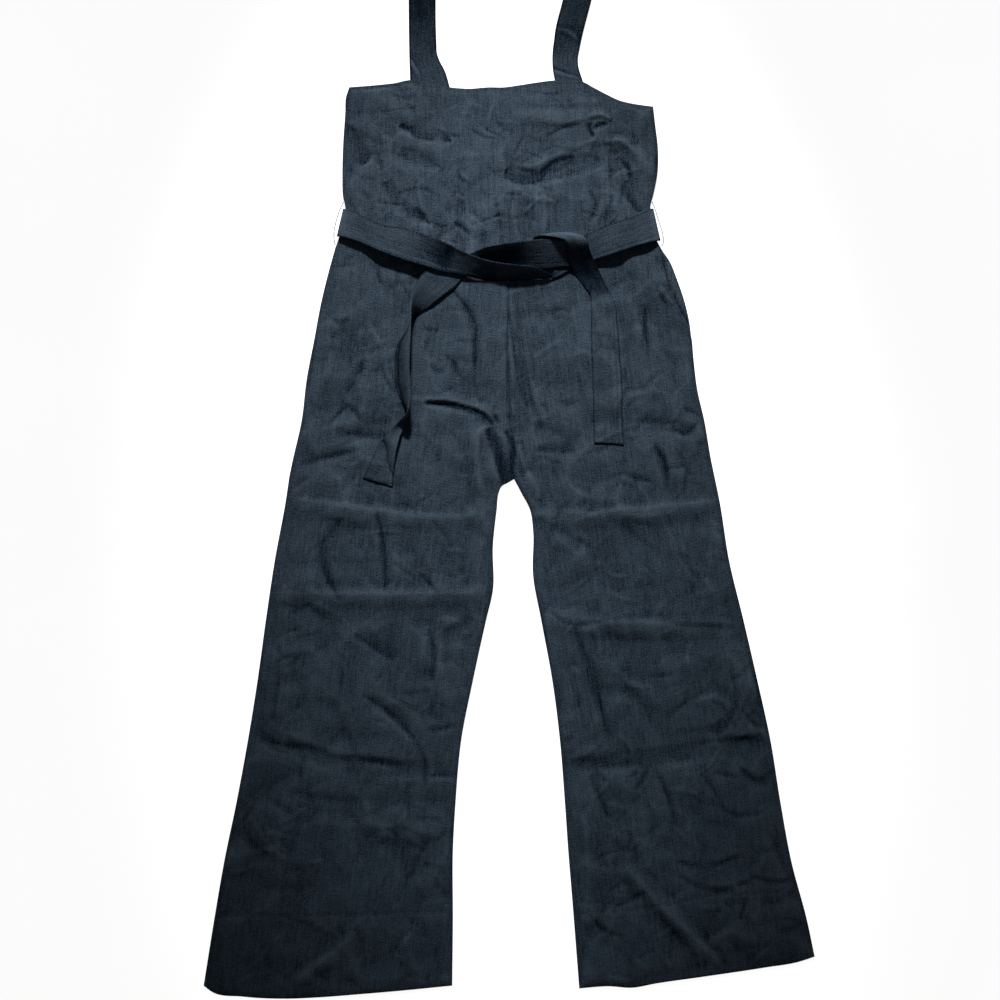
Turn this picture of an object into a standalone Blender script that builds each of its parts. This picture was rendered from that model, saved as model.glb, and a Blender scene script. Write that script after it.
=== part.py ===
"""A sleeveless wide-leg linen jumpsuit lying flat on its back, its tie belt half knotted in front.

Everything is in metres. X runs across the garment with the wearer's right side at -X, Y runs up the body
and Z rises from the floor. The origin is on the floor under the middle of the garment's box. The back panels
lie on the floor, the side pocket lies on them, the front panels lie on top with their folds, and the belt
lies over the waist seam. Pieces that are sewn together end a seam gap apart.
"""
import math

import bmesh
import bpy
import numpy as np

NAME = "jumpsuit"

# Cloth.
CLOTH = 0.0012  # wall of a panel
POCKET_CLOTH = 0.0010
BELT_CLOTH = 0.0016  # the belt is a tube pressed flat
SEAM_GAP = 0.0003
LYING_GAP = 0.0008  # from a panel's top to a band that lies on it
LOFT = 0.0032  # how far the relaxed front stands off the back
RIM = 0.032  # width of the roll along a closed edge, where the front comes down to the back
MOUTH_LIFT = 0.0045  # how far the pocket's mouth gapes
MOUTH_REACH = 0.045
THREAD_RADIUS = 0.0008
SETTLING = 0.002  # how softly a band comes down on the cloth

# The back rises over the belt that passes under it.
BELT_LOW, BELT_HIGH = 0.3255, 0.387
BELT_RAMP = 0.014
BELT_RISE = BELT_CLOTH + SEAM_GAP
FRONT_MARGIN = 0.012  # the front's rise is this much wider than the back's
POCKET_LOW, POCKET_INNER, POCKET_RAMP = 0.098, 0.108, 0.024  # where the front rises over the pocket

# How finely each piece is divided. The waist seam's points are shared by the pieces on both sides of it, so
# a bodice is divided across as often as two legs. The shares part an edge by its length, closer together
# over the belt.
LEG_ACROSS, LEG_BELOW = 19, 27
BODICE_FRONT_DOWN = 15
HIP_FRONT_SHARES = (
    0.0, 0.035, 0.075, 0.12, 0.17, 0.225, 0.285, 0.345, 0.41, 0.475, 0.54, 0.605, 0.67, 0.735, 0.8, 0.865,
    0.93, 1.0,
)
BACK_LEG_ACROSS, BACK_BELOW = 4, 12
BODICE_BACK_SHARES = (0.0, 0.2, 0.4, 0.6, 0.76, 0.85, 0.9, 1.0)
HIP_BACK_SHARES = (0.0, 0.084, 0.124, 0.24, 0.38, 0.52, 0.66, 0.8, 0.92, 1.0)
POCKET_GRID = (7, 9)
BELT_ACROSS, BELT_STEPS = 4, 76
STRAP_ACROSS, STRAP_STEPS = 3, 24
LOOP_SIDES_RESOLUTION, LOOP_STEPS = 2, 10
CURVE_STEPS = 1200  # how finely a curve is measured
SHARP_ANGLE = math.radians(50)  # edges sharper than this are drawn as edges
FOLD_STEPS = 8

# Outlines, each from its upper or right-hand end: x, y.
NECKLINE = (
    (-0.232, 0.553), (-0.194, 0.556), (-0.167, 0.559), (-0.143, 0.5635), (-0.115, 0.558), (-0.086, 0.553),
    (-0.060, 0.551), (-0.030, 0.553), (-0.008, 0.553), (0.014, 0.556), (0.040, 0.560), (0.066, 0.563),
    (0.086, 0.5625), (0.107, 0.5605), (0.121, 0.553), (0.140, 0.543), (0.159, 0.534), (0.180, 0.529),
    (0.208, 0.525),
)
NECKLINE_STEP_BACK = 0.002  # the back's neckline lies this much lower
RIGHT_BODICE_SIDE = (
    (-0.232, 0.553), (-0.2365, 0.540), (-0.238, 0.515), (-0.241, 0.470), (-0.242, 0.425), (-0.241, 0.395),
    (-0.2375, 0.377), (-0.2405, 0.358),
)
LEFT_BODICE_SIDE = (
    (0.208, 0.525), (0.211, 0.499), (0.215, 0.463), (0.214, 0.427), (0.208, 0.396), (0.2035, 0.377),
    (0.2085, 0.357),
)
FRONT_WAIST = (
    (-0.2405, 0.358), (-0.159, 0.328), (-0.086, 0.309), (-0.001, 0.300), (0.073, 0.311), (0.146, 0.335),
    (0.2085, 0.357),
)
BACK_WAIST = ((-0.2405, 0.358), (-0.010, 0.3575), (0.2085, 0.357))
CENTRE_FRONT = (
    (-0.001, 0.300), (-0.002, 0.245), (-0.003, 0.173), (-0.004, 0.100), (-0.003, 0.047), (0.001, 0.013),
    (0.0065, -0.0145),
)
CENTRE_BACK = (
    (-0.010, 0.3575), (-0.008, 0.245), (-0.006, 0.100), (-0.003, 0.047), (0.001, 0.013), (0.0065, -0.0145),
)
RIGHT_HIP = (
    (-0.2405, 0.358), (-0.2465, 0.336), (-0.252, 0.320), (-0.257, 0.303), (-0.272, 0.245), (-0.283, 0.187),
    (-0.294, 0.129), (-0.301, 0.071), (-0.314, 0.013), (-0.319, -0.011),
)
RIGHT_SIDE_BELOW = (
    (-0.319, -0.011), (-0.324, -0.045), (-0.340, -0.132), (-0.353, -0.219), (-0.365, -0.306),
    (-0.379, -0.393), (-0.395, -0.480), (-0.413, -0.567), (-0.428, -0.654), (-0.443, -0.748),
)
RIGHT_INNER_LEG = (
    (0.0065, -0.0145), (-0.0035, -0.0205), (-0.0112, -0.0245), (-0.015, -0.032), (-0.0185, -0.058),
    (-0.024, -0.110), (-0.024, -0.175), (-0.034, -0.219), (-0.053, -0.306), (-0.070, -0.393),
    (-0.078, -0.480), (-0.082, -0.552), (-0.082, -0.650), (-0.083, -0.748),
)
RIGHT_HEM = (
    (-0.443, -0.748), (-0.431, -0.757), (-0.386, -0.764), (-0.327, -0.767), (-0.275, -0.765),
    (-0.223, -0.761), (-0.153, -0.755), (-0.083, -0.748),
)
LEFT_HIP = (
    (0.2085, 0.357), (0.2115, 0.338), (0.2150, 0.327), (0.2205, 0.318), (0.231, 0.303), (0.243, 0.274),
    (0.253, 0.245), (0.260, 0.216), (0.265, 0.173), (0.272, 0.115), (0.282, 0.071), (0.292, 0.013),
    (0.297, -0.011),
)
LEFT_HIP_FRONT = (
    (0.2085, 0.357), (0.2115, 0.337), (0.215, 0.323), (0.220, 0.303), (0.224, 0.286), (0.228, 0.267),
    (0.236, 0.250), (0.247, 0.228), (0.258, 0.208), (0.2635, 0.190), (0.266, 0.165), (0.272, 0.115),
    (0.282, 0.071), (0.292, 0.013), (0.297, -0.011),
)
LEFT_SIDE_BELOW = (
    (0.297, -0.011), (0.304, -0.045), (0.318, -0.132), (0.339, -0.219), (0.359, -0.306), (0.378, -0.393),
    (0.392, -0.480), (0.408, -0.567), (0.431, -0.654), (0.442, -0.706),
)
LEFT_INNER_LEG = (
    (0.0065, -0.0145), (0.0125, -0.0255), (0.018, -0.036), (0.0298, -0.059), (0.034, -0.088),
    (0.034, -0.153), (0.046, -0.219), (0.062, -0.306), (0.073, -0.393), (0.080, -0.480), (0.085, -0.552),
    (0.091, -0.625), (0.101, -0.752),
)
LEFT_HEM = (
    (0.442, -0.706), (0.421, -0.713), (0.369, -0.722), (0.282, -0.735), (0.212, -0.745), (0.178, -0.751),
    (0.143, -0.749), (0.101, -0.752),
)
# The pocket bag's four edges. Its outer edge follows the side seam down the mouth and then turns inward.
POCKET_TOP = ((0.118, 0.340), (0.2095, 0.340))
POCKET_OUTER = (
    (0.2095, 0.340), (0.2185, 0.318), (0.229, 0.303), (0.241, 0.274), (0.251, 0.245), (0.258, 0.216),
    (0.259, 0.195), (0.247, 0.160), (0.232, 0.125),
)
POCKET_INNER_EDGE = ((0.118, 0.340), (0.114, 0.260), (0.117, 0.190), (0.128, 0.140))
POCKET_BOTTOM = ((0.128, 0.140), (0.155, 0.113), (0.195, 0.106), (0.232, 0.125))
MOUTH_MIDDLE = (0.232, 0.262)
BELT_BACK_ENDS = ((-0.2408, 0.3765), (-0.2498, 0.3370), (0.2078, 0.3775), (0.2188, 0.3310))

# Main folds of the front. Each runs from its start past its middle to its end and tapers away at both: a
# ridge has a positive height and a trough a negative one. Columns: start_x, start_y, middle_x, middle_y,
# end_x, end_y, half_width, height.
BODICE_FOLDS = (
    (-0.007, 0.430, 0.047, 0.424, 0.131, 0.449, 0.017, -0.0028),
    (0.001, 0.515, 0.047, 0.510, 0.141, 0.511, 0.016, 0.0022),
    (-0.160, 0.497, -0.127, 0.488, -0.089, 0.476, 0.014, -0.0022),
    (-0.237, 0.488, -0.222, 0.462, -0.209, 0.440, 0.014, -0.0015),
    (-0.158, 0.462, -0.122, 0.447, -0.086, 0.430, 0.016, -0.0016),
    (-0.180, 0.416, -0.156, 0.382, -0.125, 0.358, 0.014, -0.0020),
    (0.148, 0.476, 0.189, 0.453, 0.206, 0.424, 0.015, 0.0026),
    (0.177, 0.430, 0.184, 0.404, 0.190, 0.382, 0.013, -0.0024),
    (0.128, 0.436, 0.145, 0.404, 0.148, 0.372, 0.017, 0.0020),
)
HIP_FOLDS = (
    (-0.082, 0.259, -0.054, 0.216, -0.047, 0.129, 0.014, -0.0020),
    (0.008, 0.255, 0.014, 0.172, 0.027, 0.086, 0.013, -0.0015),
    (0.195, 0.240, 0.198, 0.194, 0.200, 0.150, 0.014, -0.0024),
    (-0.119, 0.101, -0.086, 0.097, -0.024, 0.074, 0.014, -0.0025),
    (-0.030, 0.060, -0.016, 0.020, -0.008, -0.012, 0.013, -0.0026),
    (0.012, 0.042, 0.014, 0.016, 0.020, -0.018, 0.013, -0.0022),
    (-0.209, 0.161, -0.222, 0.133, -0.234, 0.110, 0.014, -0.0015),
    (-0.253, 0.052, -0.213, 0.052, -0.173, 0.047, 0.014, -0.0015),
    (-0.308, 0.013, -0.271, 0.018, -0.231, 0.028, 0.014, -0.0015),
    (0.161, 0.061, 0.221, 0.065, 0.274, 0.052, 0.014, -0.0020),
    (0.208, 0.035, 0.225, 0.002, 0.238, -0.037, 0.014, -0.0015),
    (0.041, 0.026, 0.067, 0.029, 0.095, 0.028, 0.014, -0.0015),
)
RIGHT_LEG_FOLDS = (
    (-0.330, -0.045, -0.187, -0.069, -0.012, -0.062, 0.022, 0.0020),
    (-0.356, -0.181, -0.187, -0.184, -0.018, -0.181, 0.020, 0.0020),
    (-0.382, -0.377, -0.238, -0.427, -0.062, -0.435, 0.018, -0.0025),
    (-0.187, -0.062, -0.180, -0.124, -0.176, -0.182, 0.015, -0.0015),
    (-0.245, -0.088, -0.271, -0.131, -0.260, -0.182, 0.015, -0.0015),
    (-0.219, -0.230, -0.190, -0.254, -0.161, -0.273, 0.014, -0.0015),
    (-0.106, -0.233, -0.115, -0.269, -0.115, -0.311, 0.014, -0.0015),
    (-0.205, -0.331, -0.161, -0.357, -0.127, -0.395, 0.015, -0.0020),
    (-0.322, -0.754, -0.289, -0.725, -0.245, -0.703, 0.016, 0.0020),
)
LEFT_LEG_FOLDS = (
    (0.026, -0.074, 0.153, -0.066, 0.312, -0.050, 0.022, 0.0020),
    (0.040, -0.210, 0.131, -0.227, 0.344, -0.226, 0.020, 0.0020),
    (0.072, -0.430, 0.211, -0.417, 0.380, -0.395, 0.018, -0.0029),
    (0.128, -0.317, 0.196, -0.334, 0.228, -0.388, 0.015, -0.0020),
    (0.228, -0.385, 0.307, -0.375, 0.358, -0.282, 0.015, -0.0020),
    (0.092, -0.279, 0.102, -0.327, 0.119, -0.380, 0.014, -0.0015),
    (0.122, -0.440, 0.134, -0.472, 0.147, -0.505, 0.014, -0.0015),
    (0.169, -0.574, 0.224, -0.629, 0.302, -0.719, 0.018, 0.0030),
)
# Gathers that spring from the waist seam. Columns: x on the seam, reach up, reach down, lean, half_width,
# height.
GATHERS = (
    (-0.215, 0.030, 0.045, 0.004, 0.012, 0.0010),
    (-0.172, 0.050, 0.040, -0.014, 0.013, 0.0014),
    (-0.132, 0.042, 0.070, -0.018, 0.012, 0.0012),
    (-0.094, 0.062, 0.055, -0.016, 0.013, 0.0016),
    (-0.058, 0.048, 0.085, -0.012, 0.012, 0.0012),
    (-0.024, 0.078, 0.050, -0.005, 0.013, 0.0015),
    (0.014, 0.060, 0.075, 0.004, 0.012, 0.0011),
    (0.050, 0.088, 0.055, 0.008, 0.014, 0.0016),
    (0.090, 0.055, 0.080, 0.010, 0.013, 0.0012),
    (0.126, 0.070, 0.050, 0.014, 0.013, 0.0014),
    (0.163, 0.045, 0.065, 0.010, 0.012, 0.0012),
    (0.194, 0.035, 0.040, 0.002, 0.010, 0.0009),
)

# Sections along the belt's two halves, from the side seam round the knot to the end of the tail. Each gives
# the section's two edges and how far its middle stands off the straight line between them. A height of zero
# lies on the cloth below. The first rows turn round the garment's side.
BELT_COLUMNS = (
    "edge_x", "edge_y", "edge_z", "other_x", "other_y", "other_z", "middle_push_y", "middle_lift", "row",
)
BELT_WRAP_ROWS = 3
BELT_FROM_RIGHT = (
    (-0.240, 0.3760, 0.0022, -0.249, 0.3375, 0.0022, 0.000, 0.000),
    (-0.240, 0.3760, 0.006, -0.249, 0.3375, 0.006, 0.000, 0.000),
    (-0.237, 0.3750, 0.011, -0.245, 0.3360, 0.011, 0.000, 0.000),
    (-0.230, 0.373, 0.0135, -0.236, 0.333, 0.0135, 0.000, 0.000),
    (-0.211, 0.364, 0.016, -0.218, 0.327, 0.016, 0.000, 0.000),
    (-0.185, 0.351, 0.019, -0.190, 0.314, 0.020, 0.000, 0.000),
    (-0.150, 0.345, 0.0215, -0.154, 0.300, 0.0215, 0.000, 0.001),
    (-0.110, 0.331, 0.0265, -0.118, 0.290, 0.0195, 0.000, -0.004),
    (-0.088, 0.3215, 0.0290, -0.098, 0.284, 0.0160, 0.000, -0.006),
    (-0.070, 0.312, 0.0300, -0.078, 0.281, 0.0140, 0.000, -0.003),
    (-0.044, 0.3015, 0.0300, -0.053, 0.2765, 0.0110, 0.000, -0.001),
    (-0.024, 0.296, 0.0295, -0.032, 0.2720, 0.0080, 0.000, -0.001),
    (0.012, 0.2915, 0.0275, 0.006, 0.2720, 0.0070, 0.000, 0.000),
    (0.036, 0.2890, 0.0240, 0.031, 0.2735, 0.0070, 0.000, 0.000),
    (0.0500, 0.2835, 0.0190, 0.0470, 0.2750, 0.0075, 0.000, 0.000),
    (0.0600, 0.2810, 0.0125, 0.0620, 0.2760, 0.0085, 0.000, 0.000),
    (0.0640, 0.2900, 0.0092, 0.0780, 0.2820, 0.0090, 0.000, 0.000),
    (0.056, 0.304, 0.0095, 0.096, 0.295, 0.0095, 0.000, 0.000),
    (0.041, 0.320, 0.0110, 0.092, 0.317, 0.0105, 0.003, 0.000),
    (0.034, 0.3300, 0.0175, 0.089, 0.3365, 0.0165, 0.004, 0.000),
    (0.0400, 0.3325, 0.0270, 0.095, 0.3365, 0.0280, 0.003, 0.000),
    (0.057, 0.3310, 0.0340, 0.1045, 0.3310, 0.0370, 0.002, 0.001),
    (0.080, 0.3245, 0.0355, 0.1110, 0.3225, 0.0385, 0.000, 0.000),
    (0.0830, 0.3110, 0.0290, 0.1145, 0.3120, 0.0325, 0.000, 0.000),
    (0.0870, 0.2960, 0.0200, 0.1205, 0.3000, 0.0255, 0.000, 0.000),
    (0.0960, 0.2800, 0.0120, 0.1285, 0.2860, 0.0180, 0.000, 0.000),
    (0.1065, 0.2655, 0.0085, 0.1365, 0.2710, 0.0120, 0.000, 0.000),
    (0.1160, 0.2525, 0.0000, 0.1450, 0.2545, 0.0075, 0.000, 0.000),
    (0.1175, 0.2400, 0.0000, 0.1520, 0.2400, 0.0000, 0.000, 0.000),
    (0.118, 0.212, 0.000, 0.156, 0.209, 0.000, 0.000, 0.000),
    (0.118, 0.173, 0.000, 0.159, 0.173, 0.000, 0.000, 0.000),
    (0.120, 0.129, 0.000, 0.162, 0.129, 0.000, 0.000, 0.000),
    (0.121, 0.079, 0.000, 0.163, 0.079, 0.000, 0.000, 0.000),
    (0.122, 0.038, 0.000, 0.165, 0.035, 0.000, 0.000, 0.000),
)
BELT_FROM_LEFT = (
    (0.207, 0.3765, 0.0022, 0.2175, 0.3315, 0.0022, 0.000, 0.000),
    (0.207, 0.3765, 0.006, 0.2175, 0.3315, 0.006, 0.000, 0.000),
    (0.204, 0.3750, 0.011, 0.214, 0.3295, 0.012, 0.000, 0.000),
    (0.196, 0.371, 0.015, 0.203, 0.326, 0.017, 0.000, 0.000),
    (0.177, 0.362, 0.0185, 0.174, 0.317, 0.0235, 0.000, 0.001),
    (0.150, 0.353, 0.0210, 0.141, 0.306, 0.0240, 0.000, 0.001),
    (0.127, 0.344, 0.0190, 0.118, 0.299, 0.0190, 0.000, 0.000),
    (0.101, 0.334, 0.0155, 0.0985, 0.292, 0.0130, 0.000, 0.000),
    (0.072, 0.3275, 0.0275, 0.075, 0.291, 0.0125, 0.000, 0.000),
    (0.051, 0.3275, 0.0320, 0.054, 0.2885, 0.0113, 0.000, 0.000),
    (0.031, 0.326, 0.0330, 0.030, 0.2885, 0.0095, 0.000, -0.001),
    (-0.002, 0.322, 0.0325, -0.005, 0.288, 0.0080, 0.000, -0.003),
    (-0.035, 0.3165, 0.0280, -0.036, 0.287, 0.0080, 0.000, -0.003),
    (-0.063, 0.307, 0.0165, -0.056, 0.285, 0.0080, 0.000, 0.000),
    (-0.087, 0.303, 0.0120, -0.068, 0.275, 0.0085, 0.000, 0.000),
    (-0.106, 0.297, 0.0120, -0.079, 0.263, 0.0090, 0.000, 0.000),
    (-0.119, 0.287, 0.0145, -0.095, 0.251, 0.0095, 0.000, 0.000),
    (-0.131, 0.272, 0.0215, -0.112, 0.237, 0.0085, 0.000, 0.000),
    (-0.139, 0.251, 0.032, -0.128, 0.226, 0.006, 0.000, 0.000),
    (-0.141, 0.230, 0.038, -0.139, 0.217, 0.000, 0.000, 0.000),
    (-0.141, 0.204, 0.040, -0.149, 0.200, 0.000, 0.000, 0.000),
    (-0.142, 0.176, 0.040, -0.163, 0.177, 0.000, 0.000, 0.000),
    (-0.143, 0.147, 0.038, -0.166, 0.151, 0.000, 0.000, 0.000),
    (-0.142, 0.119, 0.037, -0.164, 0.122, 0.000, 0.000, 0.000),
    (-0.142, 0.098, 0.037, -0.156, 0.097, 0.000, 0.000, 0.000),
    (-0.1465, 0.080, 0.031, -0.1470, 0.077, 0.000, 0.000, 0.000),
    (-0.1580, 0.069, 0.018, -0.1525, 0.062, 0.007, 0.000, 0.000),
    (-0.1700, 0.057, 0.011, -0.1575, 0.048, 0.013, 0.000, 0.000),
    (-0.1810, 0.0460, 0.008, -0.1605, 0.0370, 0.016, 0.000, 0.000),
    (-0.1895, 0.034, 0.000, -0.1635, 0.0240, 0.016, 0.000, 0.000),
    (-0.201, 0.009, 0.000, -0.1665, -0.001, 0.011, 0.000, 0.000),
    (-0.212, -0.013, 0.000, -0.169, -0.026, 0.003, 0.000, 0.000),
)

# Sections along each shoulder strap, from the front neckline over the shoulder fold to the back neckline.
STRAP_COLUMNS = ("outer_x", "outer_y", "inner_x", "inner_y", "z")
STRAP_ON_FRONT = CLOTH + SEAM_GAP + CLOTH / 2
STRAP_ON_BACK = CLOTH / 2
STRAP_FOLD = 0.0030
RIGHT_STRAP = (
    (-0.143, 0.5646, -0.086, 0.5542, STRAP_ON_FRONT),
    (-0.1435, 0.577, -0.093, 0.575, STRAP_ON_FRONT),
    (-0.144, 0.593, -0.102, 0.593, STRAP_ON_FRONT),
    (-0.1445, 0.611, -0.107, 0.611, STRAP_ON_FRONT),
    (-0.145, 0.650, -0.107, 0.650, STRAP_ON_FRONT),
    (-0.146, 0.710, -0.107, 0.710, STRAP_ON_FRONT),
    (-0.146, 0.756, -0.107, 0.756, STRAP_FOLD),
    (-0.146, 0.7640, -0.107, 0.7640, STRAP_FOLD),
    (-0.146, 0.7672, -0.107, 0.7672, STRAP_FOLD / 2 + STRAP_ON_BACK / 2),
    (-0.146, 0.7640, -0.107, 0.7640, STRAP_ON_BACK),
    (-0.146, 0.756, -0.107, 0.756, STRAP_ON_BACK),
    (-0.146, 0.650, -0.107, 0.650, STRAP_ON_BACK),
    (-0.145, 0.590, -0.105, 0.590, STRAP_ON_BACK),
    (-0.144, 0.5618, -0.104, 0.5552, STRAP_ON_BACK),
)
LEFT_STRAP = (
    (0.066, 0.5644, 0.107, 0.5620, STRAP_ON_FRONT),
    (0.063, 0.577, 0.101, 0.577, STRAP_ON_FRONT),
    (0.062, 0.593, 0.099, 0.593, STRAP_ON_FRONT),
    (0.063, 0.611, 0.102, 0.611, STRAP_ON_FRONT),
    (0.067, 0.634, 0.107, 0.634, STRAP_ON_FRONT),
    (0.072, 0.657, 0.113, 0.657, STRAP_ON_FRONT),
    (0.079, 0.690, 0.121, 0.690, STRAP_ON_FRONT),
    (0.083, 0.756, 0.124, 0.756, STRAP_FOLD),
    (0.083, 0.7640, 0.124, 0.7640, STRAP_FOLD),
    (0.083, 0.7672, 0.124, 0.7672, STRAP_FOLD / 2 + STRAP_ON_BACK / 2),
    (0.083, 0.7640, 0.124, 0.7640, STRAP_ON_BACK),
    (0.083, 0.756, 0.124, 0.756, STRAP_ON_BACK),
    (0.078, 0.690, 0.119, 0.690, STRAP_ON_BACK),
    (0.067, 0.620, 0.108, 0.620, STRAP_ON_BACK),
    (0.066, 0.5618, 0.107, 0.5596, STRAP_ON_BACK),
)

# Thread loops that hold the belt at the side seams: x, y, z.
RIGHT_LOOP = (
    (-0.2404, 0.387, 0.0030), (-0.2460, 0.374, 0.0045), (-0.2510, 0.357, 0.0060), (-0.2540, 0.342, 0.0055),
    (-0.2537, 0.331, 0.0040), (-0.2520, 0.324, 0.0030),
)
LEFT_LOOP = (
    (0.2066, 0.387, 0.0030), (0.2105, 0.376, 0.0050), (0.2160, 0.357, 0.0065), (0.2215, 0.340, 0.0060),
    (0.2225, 0.330, 0.0045), (0.2204, 0.321, 0.0030),
)

# Colours, one for each kind of piece: red, green, blue, all linear.
LINEN_COLOUR = (0.030, 0.042, 0.058, 1.0)
BELT_COLOUR = (0.034, 0.047, 0.064, 1.0)
POCKET_COLOUR = (0.026, 0.037, 0.052, 1.0)
THREAD_COLOUR = (0.040, 0.055, 0.075, 1.0)
LINEN_ROUGHNESS = 0.85


def clear_scene():
    for thing in list(bpy.data.objects):
        bpy.data.objects.remove(thing)


def smooth_step(value):
    part = np.clip(value, 0.0, 1.0)
    return part * part * (3.0 - 2.0 * part)


def curve_at(rows, places):
    """A smooth curve through the rows, read at places given in row numbers."""
    rows = np.asarray(rows, dtype=float)
    lengths = np.linalg.norm(np.diff(rows[:, : min(6, rows.shape[1])], axis=0), axis=1)
    knots = np.concatenate(([0.0], np.cumsum(np.maximum(lengths, 1e-6))))
    steps = np.diff(knots)[:, None]
    slopes = np.diff(rows, axis=0) / steps
    tangents = np.empty_like(rows)
    tangents[0], tangents[-1] = slopes[0], slopes[-1]
    tangents[1:-1] = (slopes[:-1] * steps[1:] + slopes[1:] * steps[:-1]) / (steps[:-1] + steps[1:])
    first = np.clip(places.astype(int), 0, len(rows) - 2)
    part = (places - first)[:, None]
    span = steps[first]
    return (
        rows[first] * (2 * part**3 - 3 * part**2 + 1)
        + rows[first + 1] * (3 * part**2 - 2 * part**3)
        + tangents[first] * span * (part**3 - 2 * part**2 + part)
        + tangents[first + 1] * span * (part**3 - part**2)
    )


def even(count):
    return np.linspace(0.0, 1.0, count + 1)


def edge(rows, shares, stretch=None, measured=slice(None)):
    """Points of the curve through the rows, at shares of its length. A stretch is a first and last row."""
    first, last = stretch or (0.0, len(rows) - 1.0)
    places = np.linspace(first, last, CURVE_STEPS)
    points = curve_at(rows, places)[:, measured]
    lengths = np.concatenate(([0.0], np.cumsum(np.linalg.norm(np.diff(points, axis=0), axis=1))))
    return curve_at(rows, np.interp(np.asarray(shares) * lengths[-1], lengths, places))


def joined(upper, upper_shares, lower, lower_shares):
    """An edge in two stretches that meet at the crotch's height."""
    return np.vstack((edge(upper, upper_shares)[:-1], edge(lower, lower_shares)))


def panel(left, right, top, bottom):
    """Points of a panel between its four edges, in rows from the top down.

    A corner takes its side's x and its end's y.
    """
    left, right, top, bottom = (np.array(line, dtype=float) for line in (left, right, top, bottom))
    for side, column in ((left, 0), (right, -1)):
        for end, row in ((top, 0), (bottom, -1)):
            side[row, 1] = end[column, 1]
            end[column, 0] = side[row, 0]
    down = np.linspace(0.0, 1.0, len(left))[:, None, None]
    across = np.linspace(0.0, 1.0, len(top))[None, :, None]
    between_sides = left[:, None] * (1 - across) + right[:, None] * across
    between_ends = top[None] * (1 - down) + bottom[None] * down
    corners = (
        (top[0] * (1 - across) + top[-1] * across) * (1 - down)
        + (bottom[0] * (1 - across) + bottom[-1] * across) * down
    )
    return between_sides + between_ends - corners


def distance_to(line, x, y):
    """Distance of each point from a line of straight pieces, and the share along it of the nearest point."""
    line = np.asarray(line, dtype=float)
    nearest = np.full(x.shape, np.inf)
    place = np.zeros(x.shape)
    for index, (start, end) in enumerate(zip(line[:-1], line[1:])):
        run = end - start
        part = np.clip(((x - start[0]) * run[0] + (y - start[1]) * run[1]) / (run @ run), 0.0, 1.0)
        gap = np.hypot(x - start[0] - part * run[0], y - start[1] - part * run[1])
        closer = gap < nearest
        nearest[closer] = gap[closer]
        place[closer] = (index + part[closer]) / (len(line) - 1)
    return nearest, place


def fold_height(fold, x, y):
    start_x, start_y, middle_x, middle_y, end_x, end_y, half_width, height = fold
    line = edge(((start_x, start_y), (middle_x, middle_y), (end_x, end_y)), even(FOLD_STEPS))
    gap, place = distance_to(line, x, y)
    across = np.clip(1.0 - (gap / half_width) ** 2, 0.0, 1.0) ** 2
    return height * across * np.sqrt(np.clip(4.0 * place * (1.0 - place), 0.0, 1.0))


def gather_folds():
    """The gathers as folds: each runs from above the waist seam to below it."""
    seam = np.asarray(FRONT_WAIST)
    folds = []
    for x, up, down, lean, half_width, height in GATHERS:
        seam_y = float(np.interp(x, seam[:, 0], seam[:, 1]))
        foot = x + lean * down / up
        folds.append((x - lean, seam_y + up, x, seam_y, foot, seam_y - down, half_width, height))
    return folds


ALL_FOLDS = BODICE_FOLDS + HIP_FOLDS + RIGHT_LEG_FOLDS + LEFT_LEG_FOLDS + tuple(gather_folds())
MOUTH_ROWS = slice(9, None)
CLOSED_EDGES = (
    NECKLINE, RIGHT_BODICE_SIDE, LEFT_BODICE_SIDE, RIGHT_HIP, RIGHT_SIDE_BELOW, RIGHT_INNER_LEG, RIGHT_HEM,
    LEFT_HIP_FRONT[MOUTH_ROWS], LEFT_SIDE_BELOW, LEFT_INNER_LEG, LEFT_HEM,
)


def over_belt(y, margin):
    """How far cloth rises over the belt behind it."""
    rising = smooth_step((y - (BELT_LOW - margin - BELT_RAMP)) / BELT_RAMP)
    falling = smooth_step(((BELT_HIGH + margin + BELT_RAMP) - y) / BELT_RAMP)
    return BELT_RISE * rising * falling


def back_top(x, y):
    return CLOTH + over_belt(y, 0.0)


def pocket_top(x, y):
    return CLOTH + over_belt(y, FRONT_MARGIN) + SEAM_GAP + POCKET_CLOTH


def belt_top(x, y):
    return np.full(x.shape, BELT_CLOTH)


def front_top(x, y):
    """Height of the front's outer face: down on the back along closed edges, lofted and folded between."""
    closed = np.min([distance_to(line, x, y)[0] for line in CLOSED_EDGES], axis=0)
    rim = np.sin(np.clip(closed / RIM, 0.0, 1.0) * math.pi / 2)
    folds = sum(fold_height(fold, x, y) for fold in ALL_FOLDS)
    beside_pocket = smooth_step((x - POCKET_INNER) / POCKET_RAMP + 1.0)
    above_pocket = smooth_step((y - POCKET_LOW) / POCKET_RAMP + 1.0)
    over_pocket = (POCKET_CLOTH + SEAM_GAP) * beside_pocket * above_pocket
    from_mouth = np.hypot(x - MOUTH_MIDDLE[0], y - MOUTH_MIDDLE[1])
    gape = MOUTH_LIFT * np.clip(1.0 - (from_mouth / MOUTH_REACH) ** 2, 0.0, 1.0) ** 2
    rise = rim * (np.maximum(LOFT + folds, 0.0) + over_pocket) + gape
    return CLOTH + over_belt(y, FRONT_MARGIN) + SEAM_GAP + CLOTH + rise


def linen(name, colour):
    material = bpy.data.materials.new(name)
    material.use_nodes = True
    shader = material.node_tree.nodes["Principled BSDF"]
    shader.inputs["Base Color"].default_value = colour
    shader.inputs["Roughness"].default_value = LINEN_ROUGHNESS
    shader.inputs["Metallic"].default_value = 0.0
    return material


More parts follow.
